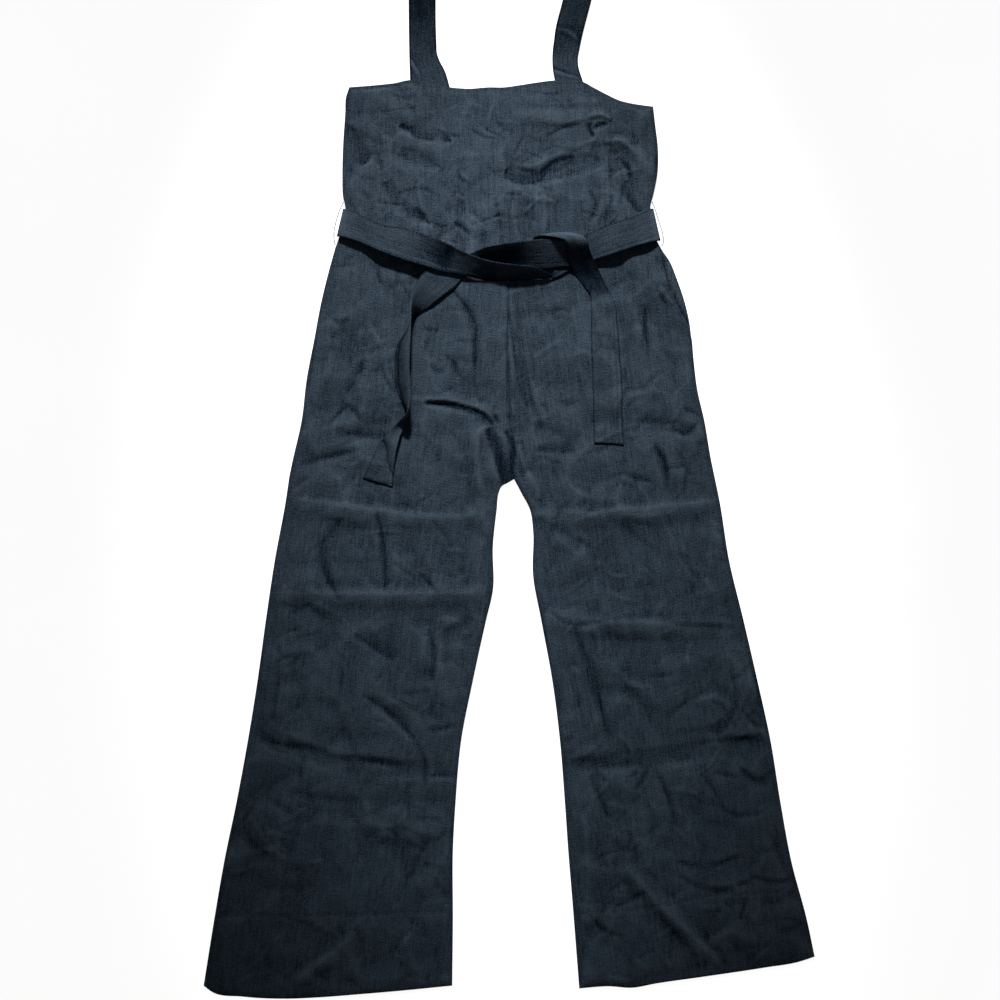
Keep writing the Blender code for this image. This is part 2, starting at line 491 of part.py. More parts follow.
def grid_mesh(points):
    """A grid whose points lie where the rows say."""
    rows, columns = points.shape[:2]
    cloth = bmesh.new()
    bmesh.ops.create_grid(cloth, x_segments=columns - 1, y_segments=rows - 1, size=0.5)
    for vertex in cloth.verts:
        column = round((vertex.co.x + 0.5) * (columns - 1))
        row = round((0.5 - vertex.co.y) * (rows - 1))
        vertex.co = points[row, column]
    return cloth


def finish_piece(name, mesh_data, colour):
    piece = bpy.data.objects.new(name, mesh_data)
    bpy.data.collections[NAME].objects.link(piece)
    piece.data.materials.append(linen(name, colour))
    return piece


def add_sheet(name, flat_points, height_of_top, thickness, colour):
    """A flat-lying panel: its outer face at the given height, and its wall straight down from it."""
    x, y = flat_points[..., 0], flat_points[..., 1]
    points = np.dstack((x, y, height_of_top(x, y)))
    cloth = grid_mesh(points)
    walls = bmesh.ops.extrude_face_region(cloth, geom=cloth.faces[:], use_keep_orig=True)
    for vertex in walls["geom"]:
        if isinstance(vertex, bmesh.types.BMVert):
            vertex.co.z -= thickness
    bmesh.ops.recalc_face_normals(cloth, faces=cloth.faces[:])
    mesh_data = bpy.data.meshes.new(name)
    cloth.to_mesh(mesh_data)
    cloth.free()
    mesh_data.shade_smooth()
    mesh_data.set_sharp_from_angle(angle=SHARP_ANGLE)
    return finish_piece(name, mesh_data, colour)


def add_band(name, points, thickness, colour):
    """A band through rows of points along its middle surface, thickened to both sides."""
    cloth = grid_mesh(points)
    mesh_data = bpy.data.meshes.new(name)
    cloth.to_mesh(mesh_data)
    cloth.free()
    mesh_data.shade_smooth()
    piece = finish_piece(name, mesh_data, colour)
    wall = piece.modifiers.new("wall", "SOLIDIFY")
    wall.thickness = thickness
    wall.offset = 0.0
    return piece


def add_thread(name, points, radius, colour):
    curve = bpy.data.curves.new(name, "CURVE")
    curve.dimensions = "3D"
    curve.bevel_depth = radius
    curve.bevel_resolution = LOOP_SIDES_RESOLUTION
    curve.use_fill_caps = True
    line = curve.splines.new("POLY")
    route = edge(points, even(LOOP_STEPS))
    line.points.add(len(route) - 1)
    for point, place in zip(line.points, route):
        point.co = (*place, 1.0)
    piece = bpy.data.objects.new(name, curve)
    bpy.data.collections[NAME].objects.link(piece)
    curve.materials.append(linen(name, colour))
    return piece


def lowered(line, drop):
    return np.asarray(line, dtype=float) - np.array([0.0, drop])


def waist_halves(line, centre_x, across):
    """The waist seam's two halves, parted at the centre seam, each divided as a leg is."""
    places = np.linspace(0.0, len(line) - 1.0, CURVE_STEPS)
    middle = float(np.interp(centre_x, curve_at(line, places)[:, 0], places))
    return edge(line, even(across), (0.0, middle)), edge(line, even(across), (middle, len(line) - 1.0))


def make_bodice_panel(neckline, waist, centre_x, across, shares, height, name):
    right_side = np.vstack((neckline[:1], RIGHT_BODICE_SIDE[1:]))
    left_side = np.vstack((neckline[-1:], LEFT_BODICE_SIDE[1:]))
    right_half, left_half = waist_halves(waist, centre_x, across)
    seam = lowered(np.vstack((right_half, left_half[1:])), -SEAM_GAP / 2)
    top = edge(neckline, even(2 * across))
    points = panel(edge(right_side, shares), edge(left_side, shares), top, seam)
    add_sheet(name, points, height, CLOTH, LINEN_COLOUR)


def make_bodice():
    make_bodice_panel(
        np.asarray(NECKLINE), FRONT_WAIST, CENTRE_FRONT[0][0], LEG_ACROSS, even(BODICE_FRONT_DOWN),
        front_top, "bodice_front",
    )
    make_bodice_panel(
        lowered(NECKLINE, NECKLINE_STEP_BACK), BACK_WAIST, CENTRE_BACK[0][0], BACK_LEG_ACROSS,
        BODICE_BACK_SHARES, back_top, "bodice_back",
    )


def make_leg(name, side, waist_half, centre, hip, below, inner, hem, divisions, height):
    """One leg panel from waist seam to hem. Its centre edge stands half a seam gap off the centre seam."""
    across, hip_shares, below_shares = divisions
    outer_edge = joined(hip, hip_shares, below, below_shares)
    centre_edge = joined(centre, hip_shares, inner, below_shares) + np.array([side * SEAM_GAP / 2, 0.0])
    waist = lowered(waist_half, SEAM_GAP / 2)
    bottom = edge(hem, even(across))
    if side < 0:
        points = panel(outer_edge, centre_edge, waist, bottom)
    else:
        points = panel(centre_edge, outer_edge, waist, bottom[::-1])
    add_sheet(name, points, height, CLOTH, LINEN_COLOUR)


def make_legs():
    right, left = -1, 1
    front = (LEG_ACROSS, HIP_FRONT_SHARES, even(LEG_BELOW))
    waist_right, waist_left = waist_halves(FRONT_WAIST, CENTRE_FRONT[0][0], LEG_ACROSS)
    make_leg(
        "leg_front_right", right, waist_right, CENTRE_FRONT, RIGHT_HIP, RIGHT_SIDE_BELOW, RIGHT_INNER_LEG,
        RIGHT_HEM, front, front_top,
    )
    make_leg(
        "leg_front_left", left, waist_left, CENTRE_FRONT, LEFT_HIP_FRONT, LEFT_SIDE_BELOW, LEFT_INNER_LEG,
        LEFT_HEM, front, front_top,
    )
    back = (BACK_LEG_ACROSS, HIP_BACK_SHARES, even(BACK_BELOW))
    waist_right, waist_left = waist_halves(BACK_WAIST, CENTRE_BACK[0][0], BACK_LEG_ACROSS)
    make_leg(
        "leg_back_right", right, waist_right, CENTRE_BACK, RIGHT_HIP, RIGHT_SIDE_BELOW, RIGHT_INNER_LEG,
        RIGHT_HEM, back, back_top,
    )
    make_leg(
        "leg_back_left", left, waist_left, CENTRE_BACK, LEFT_HIP, LEFT_SIDE_BELOW, LEFT_INNER_LEG,
        LEFT_HEM, back, back_top,
    )


def make_pocket():
    across, down = POCKET_GRID
    bag = panel(
        edge(POCKET_INNER_EDGE, even(down)), edge(POCKET_OUTER, even(down)),
        edge(POCKET_TOP, even(across)), edge(POCKET_BOTTOM, even(across)),
    )
    add_sheet("side_pocket", bag, pocket_top, POCKET_CLOTH, POCKET_COLOUR)


def belt_points(rows):
    """Sections of one half of the belt: two edges and a middle, kept above the cloth that they pass over."""
    numbered = np.column_stack((rows, np.arange(len(rows))))
    sections = edge(numbered, even(BELT_STEPS), measured=slice(0, 6))
    column = dict(zip(BELT_COLUMNS, sections.T))
    first = np.stack((column["edge_x"], column["edge_y"], column["edge_z"]), axis=1)[:, None]
    other = np.stack((column["other_x"], column["other_y"], column["other_z"]), axis=1)[:, None]
    still = np.zeros(len(sections))
    bulge = np.stack((still, column["middle_push_y"], column["middle_lift"]), axis=1)[:, None]
    across = even(BELT_ACROSS)[None, :, None]
    points = first * (1 - across) + other * across + 4 * across * (1 - across) * bulge
    lowest = front_top(points[..., 0], points[..., 1]) + LYING_GAP + BELT_CLOTH / 2
    past_side = smooth_step(column["row"] - (BELT_WRAP_ROWS - 1))[:, None]
    above = points[..., 2] - lowest
    settled = lowest + (above + np.hypot(above, SETTLING)) / 2
    points[..., 2] += (settled - points[..., 2]) * past_side
    return points


def make_belt():
    right_top, right_bottom, left_top, left_bottom = np.asarray(BELT_BACK_ENDS)
    across = even(BACK_LEG_ACROSS)[:, None]
    top = right_top * (1 - across) + left_top * across
    bottom = right_bottom * (1 - across) + left_bottom * across
    add_sheet("belt_back", np.stack((top, bottom)), belt_top, BELT_CLOTH, BELT_COLOUR)
    add_band("belt_from_right", belt_points(BELT_FROM_RIGHT), BELT_CLOTH, BELT_COLOUR)
    add_band("belt_from_left", belt_points(BELT_FROM_LEFT), BELT_CLOTH, BELT_COLOUR)
    add_thread("belt_loop_right", RIGHT_LOOP, THREAD_RADIUS, THREAD_COLOUR)
    add_thread("belt_loop_left", LEFT_LOOP, THREAD_RADIUS, THREAD_COLOUR)


def strap_points(rows):
    column = dict(zip(STRAP_COLUMNS, np.asarray(rows).T))
    names = ("outer_x", "outer_y", "z", "inner_x", "inner_y", "z")
    sections = edge(np.column_stack([column[name] for name in names]), even(STRAP_STEPS))
    across = even(STRAP_ACROSS)[None, :, None]
    return sections[:, None, 0:3] * (1 - across) + sections[:, None, 3:6] * across


def make_straps():
    add_band("strap_right", strap_points(RIGHT_STRAP), CLOTH, LINEN_COLOUR)
    add_band("strap_left", strap_points(LEFT_STRAP), CLOTH, LINEN_COLOUR)


def main():
    clear_scene()
    bpy.context.scene.collection.children.link(bpy.data.collections.new(NAME))
    make_bodice()
    make_legs()
    make_pocket()
    make_belt()
    make_straps()


main()
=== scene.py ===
"""A sleeveless wide-leg linen jumpsuit lying flat on its back, its tie belt half knotted in front.

X runs across the garment with the wearer's right side at -X, Y runs up the body and Z rises from the floor,
in the frame that is loaded below. Everything is in metres, and the long tables are written in millimetres.
Each piece of cloth is a thin shell on the form of the solid that it stands for. The outlines and folds are
the solid's own but for a few, and finer creases, crumple and sewing are added to them.
"""
import math

import bmesh
import bpy
import numpy as np
from bpy.props import FloatProperty, FloatVectorProperty, PointerProperty
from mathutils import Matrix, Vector


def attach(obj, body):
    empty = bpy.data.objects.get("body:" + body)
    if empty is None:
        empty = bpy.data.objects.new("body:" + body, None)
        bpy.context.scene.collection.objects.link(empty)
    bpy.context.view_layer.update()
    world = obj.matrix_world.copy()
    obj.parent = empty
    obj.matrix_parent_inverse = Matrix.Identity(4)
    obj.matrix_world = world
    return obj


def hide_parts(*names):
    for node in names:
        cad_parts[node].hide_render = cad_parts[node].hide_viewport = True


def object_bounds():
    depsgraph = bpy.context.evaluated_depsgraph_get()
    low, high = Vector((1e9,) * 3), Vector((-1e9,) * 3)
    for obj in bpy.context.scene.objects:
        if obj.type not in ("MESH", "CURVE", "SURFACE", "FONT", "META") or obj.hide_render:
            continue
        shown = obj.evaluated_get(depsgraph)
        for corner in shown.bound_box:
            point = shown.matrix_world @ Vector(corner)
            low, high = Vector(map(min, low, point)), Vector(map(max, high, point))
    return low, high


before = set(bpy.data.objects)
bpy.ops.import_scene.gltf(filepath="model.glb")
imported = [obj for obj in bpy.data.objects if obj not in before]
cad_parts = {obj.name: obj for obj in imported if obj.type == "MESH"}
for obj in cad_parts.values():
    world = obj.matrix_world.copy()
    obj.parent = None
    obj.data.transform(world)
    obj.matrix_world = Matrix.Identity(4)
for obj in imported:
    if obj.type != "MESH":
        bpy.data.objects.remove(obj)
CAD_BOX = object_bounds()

bl_info = {
    "name": "Linen jumpsuit",
    "version": (1, 0, 0),
    "blender": (4, 5, 0),
    "location": "3D View > Sidebar > Jumpsuit",
    "description": "Builds a wide-leg linen jumpsuit lying flat, with its belt, sewing and studio",
    "category": "Object",
}

MM = 0.001
BODY = "root"


def metres(rows):
    """Rows that are written in millimetres."""
    return tuple(tuple(value * MM for value in row) for row in rows)


def linear(hex_colour):
    """A hex sRGB colour as linear red, green and blue."""
    parts = (int(hex_colour[place : place + 2], 16) / 255 for place in (0, 2, 4))
    return tuple(part / 12.92 if part <= 0.04045 else ((part + 0.055) / 1.055) ** 2.4 for part in parts)


# Cloth of the solids that the pieces stand for.
CLOTH = 0.0012
POCKET_CLOTH = 0.0010
BELT_CLOTH = 0.0016  # the belt is a tube pressed flat
SEAM_GAP = 0.0003
LYING_GAP = 0.0002  # from a panel's top to a band that lies on it
LOFT = 0.0032  # how far the relaxed front stands off the back
RIM = 0.032  # width of the roll along a closed edge, where the front comes down to the back
MOUTH_LIFT = 0.0045  # how far the pocket's mouth gapes
MOUTH_REACH = 0.045
SETTLING = 0.0004  # how softly a band comes down on the cloth
BELT_LOW, BELT_HIGH = 0.3255, 0.387  # the back rises over the belt that passes under it
BELT_RAMP = 0.014
BELT_RISE = BELT_CLOTH + SEAM_GAP
FRONT_MARGIN = 0.012  # the front's rise is this much wider than the back's
FRONT_RAMP = 0.06  # and this much softer
POCKET_LOW, POCKET_INNER, POCKET_RAMP = 0.098, 0.108, 0.024  # where the front rises over the pocket

# How finely each piece is divided, for threads of about 2 mm on the front and 4 mm on the underside.
BODICE_FRONT_GRID = (250, 140)
LEG_FRONT_GRID = (120, 125, 262)  # across, down to the crotch's height, and down to the hem
BODICE_BACK_GRID = (110, 56)
LEG_BACK_GRID = (80, 84, 176)
POCKET_GRID = (60, 100)
BELT_BACK_GRID = (110, 10)
BELT_ACROSS, BELT_STEPS = 26, 400
STRAP_ACROSS, STRAP_STEPS = 20, 230
CURVE_STEPS = 1200  # how finely a curve is measured
FOLD_STEPS = 8
PLACE_COLUMNS = 6  # a curve is measured on these first columns of its rows

# Outlines, each from its upper or right-hand end: x, y.
NECKLINE = metres((
    (-232, 553), (-194, 556), (-167, 559), (-143, 563.5), (-115, 558), (-86, 553), (-60, 551), (-30, 553),
    (-8, 553), (14, 556), (40, 560), (66, 563), (86, 562.5), (107, 560.5), (121, 553), (140, 543), (159, 534),
    (180, 529), (208, 525),
))
NECKLINE_STEP_BACK = 0.002  # the back's neckline lies this much lower
RIGHT_BODICE_SIDE = metres((
    (-232, 553), (-236.5, 540), (-238, 515), (-241, 470), (-242, 425), (-241, 395), (-237.5, 377),
    (-240.5, 358),
))
LEFT_BODICE_SIDE = metres((
    (208, 525), (211, 499), (215, 463), (214, 427), (208, 396), (203.5, 377), (208.5, 357),
))
FRONT_WAIST = metres((
    (-240.5, 358), (-159, 328), (-86, 309), (-1, 300), (73, 311), (146, 335), (208.5, 357),
))
BACK_WAIST = metres(((-240.5, 358), (-10, 357.5), (208.5, 357)))
CENTRE_FRONT = metres(((-1, 300), (-2, 245), (-3, 173), (-4, 100), (-3, 47), (1, 13), (6.5, -14.5)))
CENTRE_BACK = metres(((-10, 357.5), (-8, 245), (-6, 100), (-3, 47), (1, 13), (6.5, -14.5)))
RIGHT_HIP = metres((
    (-240.5, 358), (-246.5, 336), (-252, 320), (-257, 303), (-272, 245), (-283, 187), (-294, 129), (-301, 71),
    (-314, 13), (-319, -11),
))
RIGHT_SIDE_BELOW = metres((
    (-319, -11), (-324, -45), (-340, -132), (-353, -219), (-365, -306), (-379, -393), (-395, -480),
    (-413, -567), (-428, -654), (-443, -748),
))
RIGHT_INNER_LEG = metres((
    (6.5, -14.5), (-3.5, -20.5), (-11.2, -24.5), (-15, -32), (-18.5, -58), (-24, -110), (-24, -175),
    (-34, -219), (-53, -306), (-70, -393), (-78, -480), (-82, -552), (-82, -650), (-83, -748),
))
RIGHT_HEM = metres((
    (-443, -748), (-431, -757), (-386, -764), (-327, -767), (-275, -765), (-223, -761), (-153, -755),
    (-83, -748),
))
LEFT_HIP = metres((
    (208.5, 357), (211.5, 338), (215, 327), (220.5, 318), (231, 303), (243, 274), (253, 245), (260, 216),
    (265, 173), (272, 115), (282, 71), (292, 13), (297, -11),
))
LEFT_HIP_FRONT = metres((
    (208.5, 357), (211.5, 337), (215, 323), (220, 303), (224, 286), (228, 267), (236, 250), (247, 228),
    (258, 208), (263.5, 190), (266, 165), (272, 115), (282, 71), (292, 13), (297, -11),
))
LEFT_SIDE_BELOW = metres((
    (297, -11), (304, -45), (318, -132), (339, -219), (359, -306), (378, -393), (392, -480), (408, -567),
    (431, -654), (442, -706),
))
LEFT_INNER_LEG = metres((
    (6.5, -14.5), (12.5, -25.5), (18, -36), (29.8, -59), (34, -88), (34, -153), (46, -219), (62, -306),
    (73, -393), (80, -480), (85, -552), (91, -625), (101, -752),
))
LEFT_HEM = metres((
    (442, -706), (421, -713), (369, -722), (282, -735), (212, -745), (178, -751), (143, -749), (101, -752),
))
# The pocket bag's four edges. Its outer edge follows the side seam down the mouth and then turns inward.
POCKET_TOP = metres(((118, 340), (209.5, 340)))
POCKET_OUTER = metres((
    (209.5, 340), (218.5, 318), (229, 303), (241, 274), (251, 245), (258, 216), (259, 195), (247, 160),
    (232, 125),
))
POCKET_INNER_EDGE = metres(((118, 340), (114, 260), (117, 190), (128, 140)))
POCKET_BOTTOM = metres(((128, 140), (155, 113), (195, 106), (232, 125)))
MOUTH_MIDDLE = (0.232, 0.262)
# Corners of the belt behind the garment: the right side's top and bottom, and the left side's.
BELT_BACK_ENDS = metres(((-240.8, 376.5), (-249.8, 337), (207.8, 377.5), (218.8, 331)))

# Main folds of the front. Each runs from its start past its middle to its end and tapers away at both: a
# ridge has a positive height and a trough a negative one. Columns: start_x, start_y, middle_x, middle_y,
# end_x, end_y, half_width, height.
BODICE_FOLDS = metres((
    (-7, 430, 47, 424, 131, 449, 17, -2.8), (1, 515, 47, 510, 141, 511, 16, 2.2),
    (-160, 497, -127, 488, -89, 476, 14, -2.2), (-237, 488, -222, 462, -209, 440, 14, -1.5),
    (-158, 462, -122, 447, -86, 430, 16, -1.6), (-180, 416, -156, 382, -125, 358, 14, -2),
    (148, 476, 189, 453, 206, 424, 15, 2.6), (177, 430, 184, 404, 190, 382, 13, -2.4),
    (128, 436, 145, 404, 148, 372, 17, 2),
))
HIP_FOLDS = metres((
    (-82, 259, -54, 216, -47, 129, 14, -2), (8, 255, 14, 172, 27, 86, 13, -1.5),
    (195, 240, 198, 194, 200, 150, 14, -2.4), (-119, 101, -86, 97, -24, 74, 14, -2.5),
    (-30, 60, -16, 20, -8, -12, 13, -2.6), (12, 42, 14, 16, 20, -18, 13, -2.2),
    (-209, 161, -222, 133, -234, 110, 14, -1.5), (-253, 52, -213, 52, -173, 47, 14, -1.5),
    (-308, 13, -271, 18, -231, 28, 14, -1.5), (161, 61, 221, 65, 274, 52, 14, -2),
    (208, 35, 225, 2, 238, -37, 14, -1.5), (41, 26, 67, 29, 95, 28, 14, -1.5),
))
RIGHT_LEG_FOLDS = metres((
    (-330, -45, -187, -69, -12, -62, 22, 2), (-356, -181, -187, -184, -18, -181, 20, 2),
    (-382, -377, -238, -427, -62, -435, 18, -2.5), (-187, -62, -180, -124, -176, -182, 15, -1.5),
    (-245, -88, -271, -131, -260, -182, 15, -1.5), (-219, -230, -190, -254, -161, -273, 14, -1.5),
    (-106, -233, -115, -269, -115, -311, 14, -1.5), (-205, -331, -161, -357, -127, -395, 15, -2),
    (-322, -754, -289, -725, -245, -703, 16, 2),
))
LEFT_LEG_FOLDS = metres((
    (26, -74, 153, -66, 312, -50, 22, 2), (40, -210, 131, -227, 344, -226, 20, 2),
    (72, -430, 211, -417, 380, -395, 18, -2.9), (128, -317, 196, -334, 228, -388, 15, -2),
    (228, -385, 307, -375, 358, -282, 15, -2), (92, -279, 102, -327, 119, -380, 14, -1.5),
    (122, -440, 134, -472, 147, -505, 14, -1.5), (169, -574, 224, -629, 302, -719, 18, 3),
))
# Gathers that spring from the waist seam. Columns: x on the seam, reach up, reach down, lean, half_width,
# height.
GATHERS = metres((
    (-215, 30, 45, 4, 12, 0.7), (-172, 50, 40, -14, 13, 1), (-132, 42, 70, -18, 12, 0.8),
    (-94, 62, 55, -16, 13, 1.1), (-58, 48, 85, -12, 12, 0.8), (-24, 78, 50, -5, 13, 1),
    (14, 60, 75, 4, 12, 0.8), (50, 88, 55, 8, 14, 1.1), (90, 55, 80, 10, 13, 0.8), (126, 70, 50, 14, 13, 1),
    (163, 45, 65, 10, 12, 0.8), (194, 35, 40, 2, 10, 0.6),
))

# Sharper creases on the front. Each runs from its start past its middle to its end and fades at both. A width
# is how far it reaches on the left or right side of that way, and a trough's height is negative. Columns:
# start_x, start_y, middle_x, middle_y, end_x, end_y, left_width, right_width, height.
BODICE_CREASES = metres((
    (-160, 497, -147, 493, -135, 490, 6, 7, -1.6), (-142, 489, -126, 484, -107, 484, 6, 12, -1.9),
    (-106, 491, -95, 484, -84, 473, 4, 8, -1.6), (-189, 517, -162, 519, -133, 524, 3, 8, -0.4),
    (-231, 515, -213, 516, -189, 517, 3, 7, -0.2), (-237, 496, -226, 476, -208, 440, 18, 14, -1.9),
    (-214, 487, -195, 474, -178, 470, 8, 9, -0.6), (-164, 467, -129, 454, -93, 432, 4, 10, -0.4),
    (-184, 417, -173, 405, -161, 392, 4, 6, -0.6), (-137, 378, -126, 367, -114, 352, 6, 10, -1.3),
    (-164, 399, -140, 405, -111, 403, 4, 8, -0.4), (-115, 360, -101, 351, -90, 350, 7, 7, -0.7),
    (-81, 356, -68, 349, -56, 337, 7, 7, -1.2), (-57, 360, -43, 355, -28, 338, 7, 6, 0.5),
    (-90, 389, -88, 375, -86, 360, 6, 6, -0.3), (-75, 436, -72, 423, -59, 411, 5, 7, -0.5),
    (-7, 432, 15, 422, 51, 427, 9, 20, -2.5), (44, 427, 66, 445, 96, 452, 6, 16, -2.3),
    (96, 452, 116, 452, 138, 447, 6, 10, -0.6), (1, 438, 37, 438, 62, 452, 10, 4, 0.6),
    (44, 505, 80, 501, 116, 508, 7, 5, 0.5), (113, 508, 131, 511, 147, 505, 9, 4, 1.5),
    (51, 481, 75, 493, 102, 501, 5, 7, -0.6), (115, 501, 116, 490, 124, 479, 5, 7, -1.3),
    (120, 492, 131, 498, 142, 499, 4, 6, -1.2), (136, 474, 165, 472, 186, 452, 10, 6, 1.3),
    (183, 456, 197, 440, 205, 423, 8, 8, 0.7), (156, 452, 171, 436, 176, 411, 7, 11, -1.5),
    (171, 418, 178, 391, 191, 372, 7, 14, -2.5), (167, 411, 160, 389, 156, 375, 6, 6, -0.5),
    (46, 544, 62, 543, 78, 547, 4, 8, -0.5), (15, 548, 30, 546, 48, 544, 4, 6, -0.2),
    (26, 483, 40, 476, 58, 475, 6, 8, -0.4), (-19, 501, -7, 492, 8, 488, 6, 8, -0.4),
    (-7, 506, 8, 514, 30, 511, 5, 8, 0.3), (-151, 528, -140, 521, -135, 508, 5, 6, -0.4),
    (-176, 544, -151, 537, -133, 541, 5, 7, -0.4), (-115, 519, -101, 506, -97, 490, 5, 6, 0.3),
    (-209, 458, -187, 440, -182, 418, 9, 9, -0.4), (-234, 436, -213, 422, -191, 418, 7, 8, -0.4),
    (-238, 501, -231, 494, -220, 488, 4, 6, -0.6), (-195, 375, -187, 366, -173, 375, 6, 6, 0.4),
    (-213, 403, -202, 389, -195, 375, 8, 8, -0.4), (-21, 394, -18, 375, -10, 342, 6, 8, -0.6),
    (4, 389, 6, 367, 10, 338, 7, 6, 0.6), (30, 403, 34, 378, 26, 346, 6, 8, -0.6),
    (48, 389, 52, 371, 49, 342, 6, 6, 0.5), (68, 389, 66, 367, 71, 346, 6, 7, -0.5),
    (87, 411, 90, 385, 86, 353, 7, 6, 0.5), (116, 403, 124, 385, 115, 356, 7, 8, -0.7),
    (134, 389, 131, 371, 120, 353, 6, 6, 0.4), (145, 403, 147, 378, 138, 356, 6, 6, -0.4),
    (-39, 389, -35, 371, -25, 342, 6, 6, 0.4), (-57, 389, -52, 375, -43, 360, 6, 6, -0.3),
    (149, 436, 145, 418, 149, 403, 7, 7, -0.4), (62, 472, 87, 467, 116, 472, 8, 8, 0.4),
    (102, 472, 131, 467, 149, 472, 6, 9, -0.4),
))
HIP_CREASES = metres((
    (-122, 101, -81, 98, -44, 88, 11, 4, 2.3), (-52, 90, -36, 82, -24, 72, 10, 4, 2.2),
    (-149, 104, -132, 101, -115, 100, 6, 5, 0.6), (-34, 64, -48, 45, -46, 6, 14, 14, 2.2),
    (-33, 58, -19, 40, -12, 8, 7, 8, -5.5), (-17, 36, -13, 6, -7, -26, 7, 6, -6),
    (-5, 56, 5, 36, 4, 6, 5, 6, -5.5), (6, 34, 3, 8, 5, -22, 5, 6, -6), (-6, 26, -5, 0, -2, -26, 8, 8, -5.5),
    (-5, 52, 10, 32, 24, -4, 8, 12, 2.2), (-124, 96, -81, 92, -44, 82, 3, 4, -2.8),
    (-56, 86, -38, 79, -23, 64, 3, 4, -3), (24, -2, 34, -20, 44, -44, 8, 10, 1.6),
    (-22, 80, -17, 70, -13, 66, 4, 5, -1.2), (-46, 8, -44, -18, -34, -40, 12, 10, 1.4),
    (-82, 259, -60, 230, -48, 208, 4, 4, -0.8), (-48, 208, -50, 172, -50, 138, 4, 5, -0.7),
    (-50, 138, -49, 114, -41, 95, 4, 5, -0.5), (-96, 165, -84, 158, -72, 133, 7, 9, -1.1),
    (-115, 153, -106, 143, -94, 143, 7, 9, -0.7), (-125, 203, -113, 201, -99, 203, 5, 6, -0.6),
    (-79, 187, -65, 185, -50, 184, 3, 5, -0.5), (-1, 235, 5, 182, 11, 136, 4, 4, -0.9),
    (11, 136, 18, 110, 28, 88, 5, 6, -0.7), (26, 126, 35, 90, 48, 54, 7, 6, -0.7),
    (39, 117, 42, 95, 51, 81, 5, 5, 0.5), (51, 227, 70, 230, 92, 229, 4, 6, -0.4),
    (-208, 165, -219, 138, -235, 109, 7, 7, -0.6), (-260, 65, -248, 80, -233, 94, 6, 6, -0.8),
    (-233, 94, -224, 84, -215, 70, 6, 6, -0.7), (-237, 52, -205, 51, -173, 51, 4, 8, -0.8),
    (-307, 10, -262, 19, -213, 31, 4, 8, -0.8), (-320, 239, -291, 243, -261, 244, 5, 7, -0.5),
    (-190, 293, -189, 281, -187, 268, 3, 3, -0.7), (-258, 218, -248, 213, -229, 216, 5, 7, -0.5),
    (-284, 163, -275, 158, -260, 160, 5, 7, -0.5), (196, 231, 198, 196, 201, 154, 2, 5, -1.8),
    (215, 264, 226, 250, 236, 237, 4, 4, 0.9), (211, 258, 221, 244, 231, 231, 5, 4, -0.4),
    (218, 176, 231, 165, 244, 152, 5, 7, -0.9), (224, 143, 212, 136, 200, 123, 6, 6, -0.7),
    (162, 63, 198, 63, 234, 61, 6, 6, 0.7), (234, 61, 253, 51, 275, 71, 6, 7, -0.9),
    (207, 40, 222, 16, 229, -28, 6, 9, -1), (34, 25, 65, 28, 95, 27, 4, 8, -0.5),
    (157, -6, 181, -11, 205, -18, 5, 6, -0.5), (239, 32, 253, 13, 258, -11, 7, 7, -0.6),
    (-101, 32, -103, 8, -99, -16, 7, 7, -0.5), (207, 225, 215, 206, 219, 184, 5, 5, -0.5),
    (65, 100, 85, 95, 104, 100, 6, 8, -0.5), (99, 143, 104, 119, 109, 95, 5, 6, -0.5),
    (-262, 134, -267, 114, -277, 95, 7, 7, -0.4), (-176, 148, -168, 136, -164, 110, 7, 7, -0.7),
    (-212, 206, -217, 187, -208, 165, 6, 6, 0.4), (-291, 100, -277, 90, -262, 95, 6, 6, -0.4),
))
RIGHT_LEG_CREASES = metres((
    (-317, -43, -245, -52, -158, -65, 7, 22, 1), (-166, -63, -93, -69, -34, -63, 7, 22, 0.9),
    (-193, -56, -184, -99, -178, -176, 4, 6, -0.9), (-273, -106, -263, -153, -244, -191, 14, 8, -1.3),
    (-241, -70, -256, -88, -273, -110, 8, 8, -0.7), (-346, -179, -209, -180, -34, -178, 40, 45, 1.7),
    (-346, -179, -209, -180, -34, -178, 3, 5, 0.2), (-227, -238, -195, -258, -164, -274, 6, 8, -0.9),
    (-116, -231, -108, -265, -112, -306, 6, 8, -0.9), (-333, -254, -333, -305, -344, -364, 10, 10, -0.7),
    (-213, -325, -169, -356, -135, -393, 7, 9, -1.1), (-135, -393, -122, -421, -121, -457, 6, 9, -0.9),
    (-374, -366, -355, -388, -330, -399, 6, 9, -1.6), (-332, -399, -285, -406, -252, -418, 8, 7, -1.4),
    (-254, -418, -209, -421, -150, -429, 8, 9, -1.5), (-116, -444, -97, -442, -77, -442, 5, 7, -1.2),
    (-122, -377, -97, -375, -70, -370, 6, 8, -0.9), (-252, -431, -209, -429, -158, -436, 8, 14, 0.9),
    (-151, -449, -146, -486, -144, -525, 12, 10, -0.7), (-321, -465, -274, -475, -220, -478, 12, 18, -0.9),
    (-386, -515, -368, -543, -338, -567, 12, 14, -0.8), (-112, -525, -133, -565, -164, -630, 14, 12, -0.8),
    (-307, -740, -273, -713, -223, -670, 14, 14, 1.2), (-220, -710, -213, -688, -223, -659, 10, 10, -0.6),
))
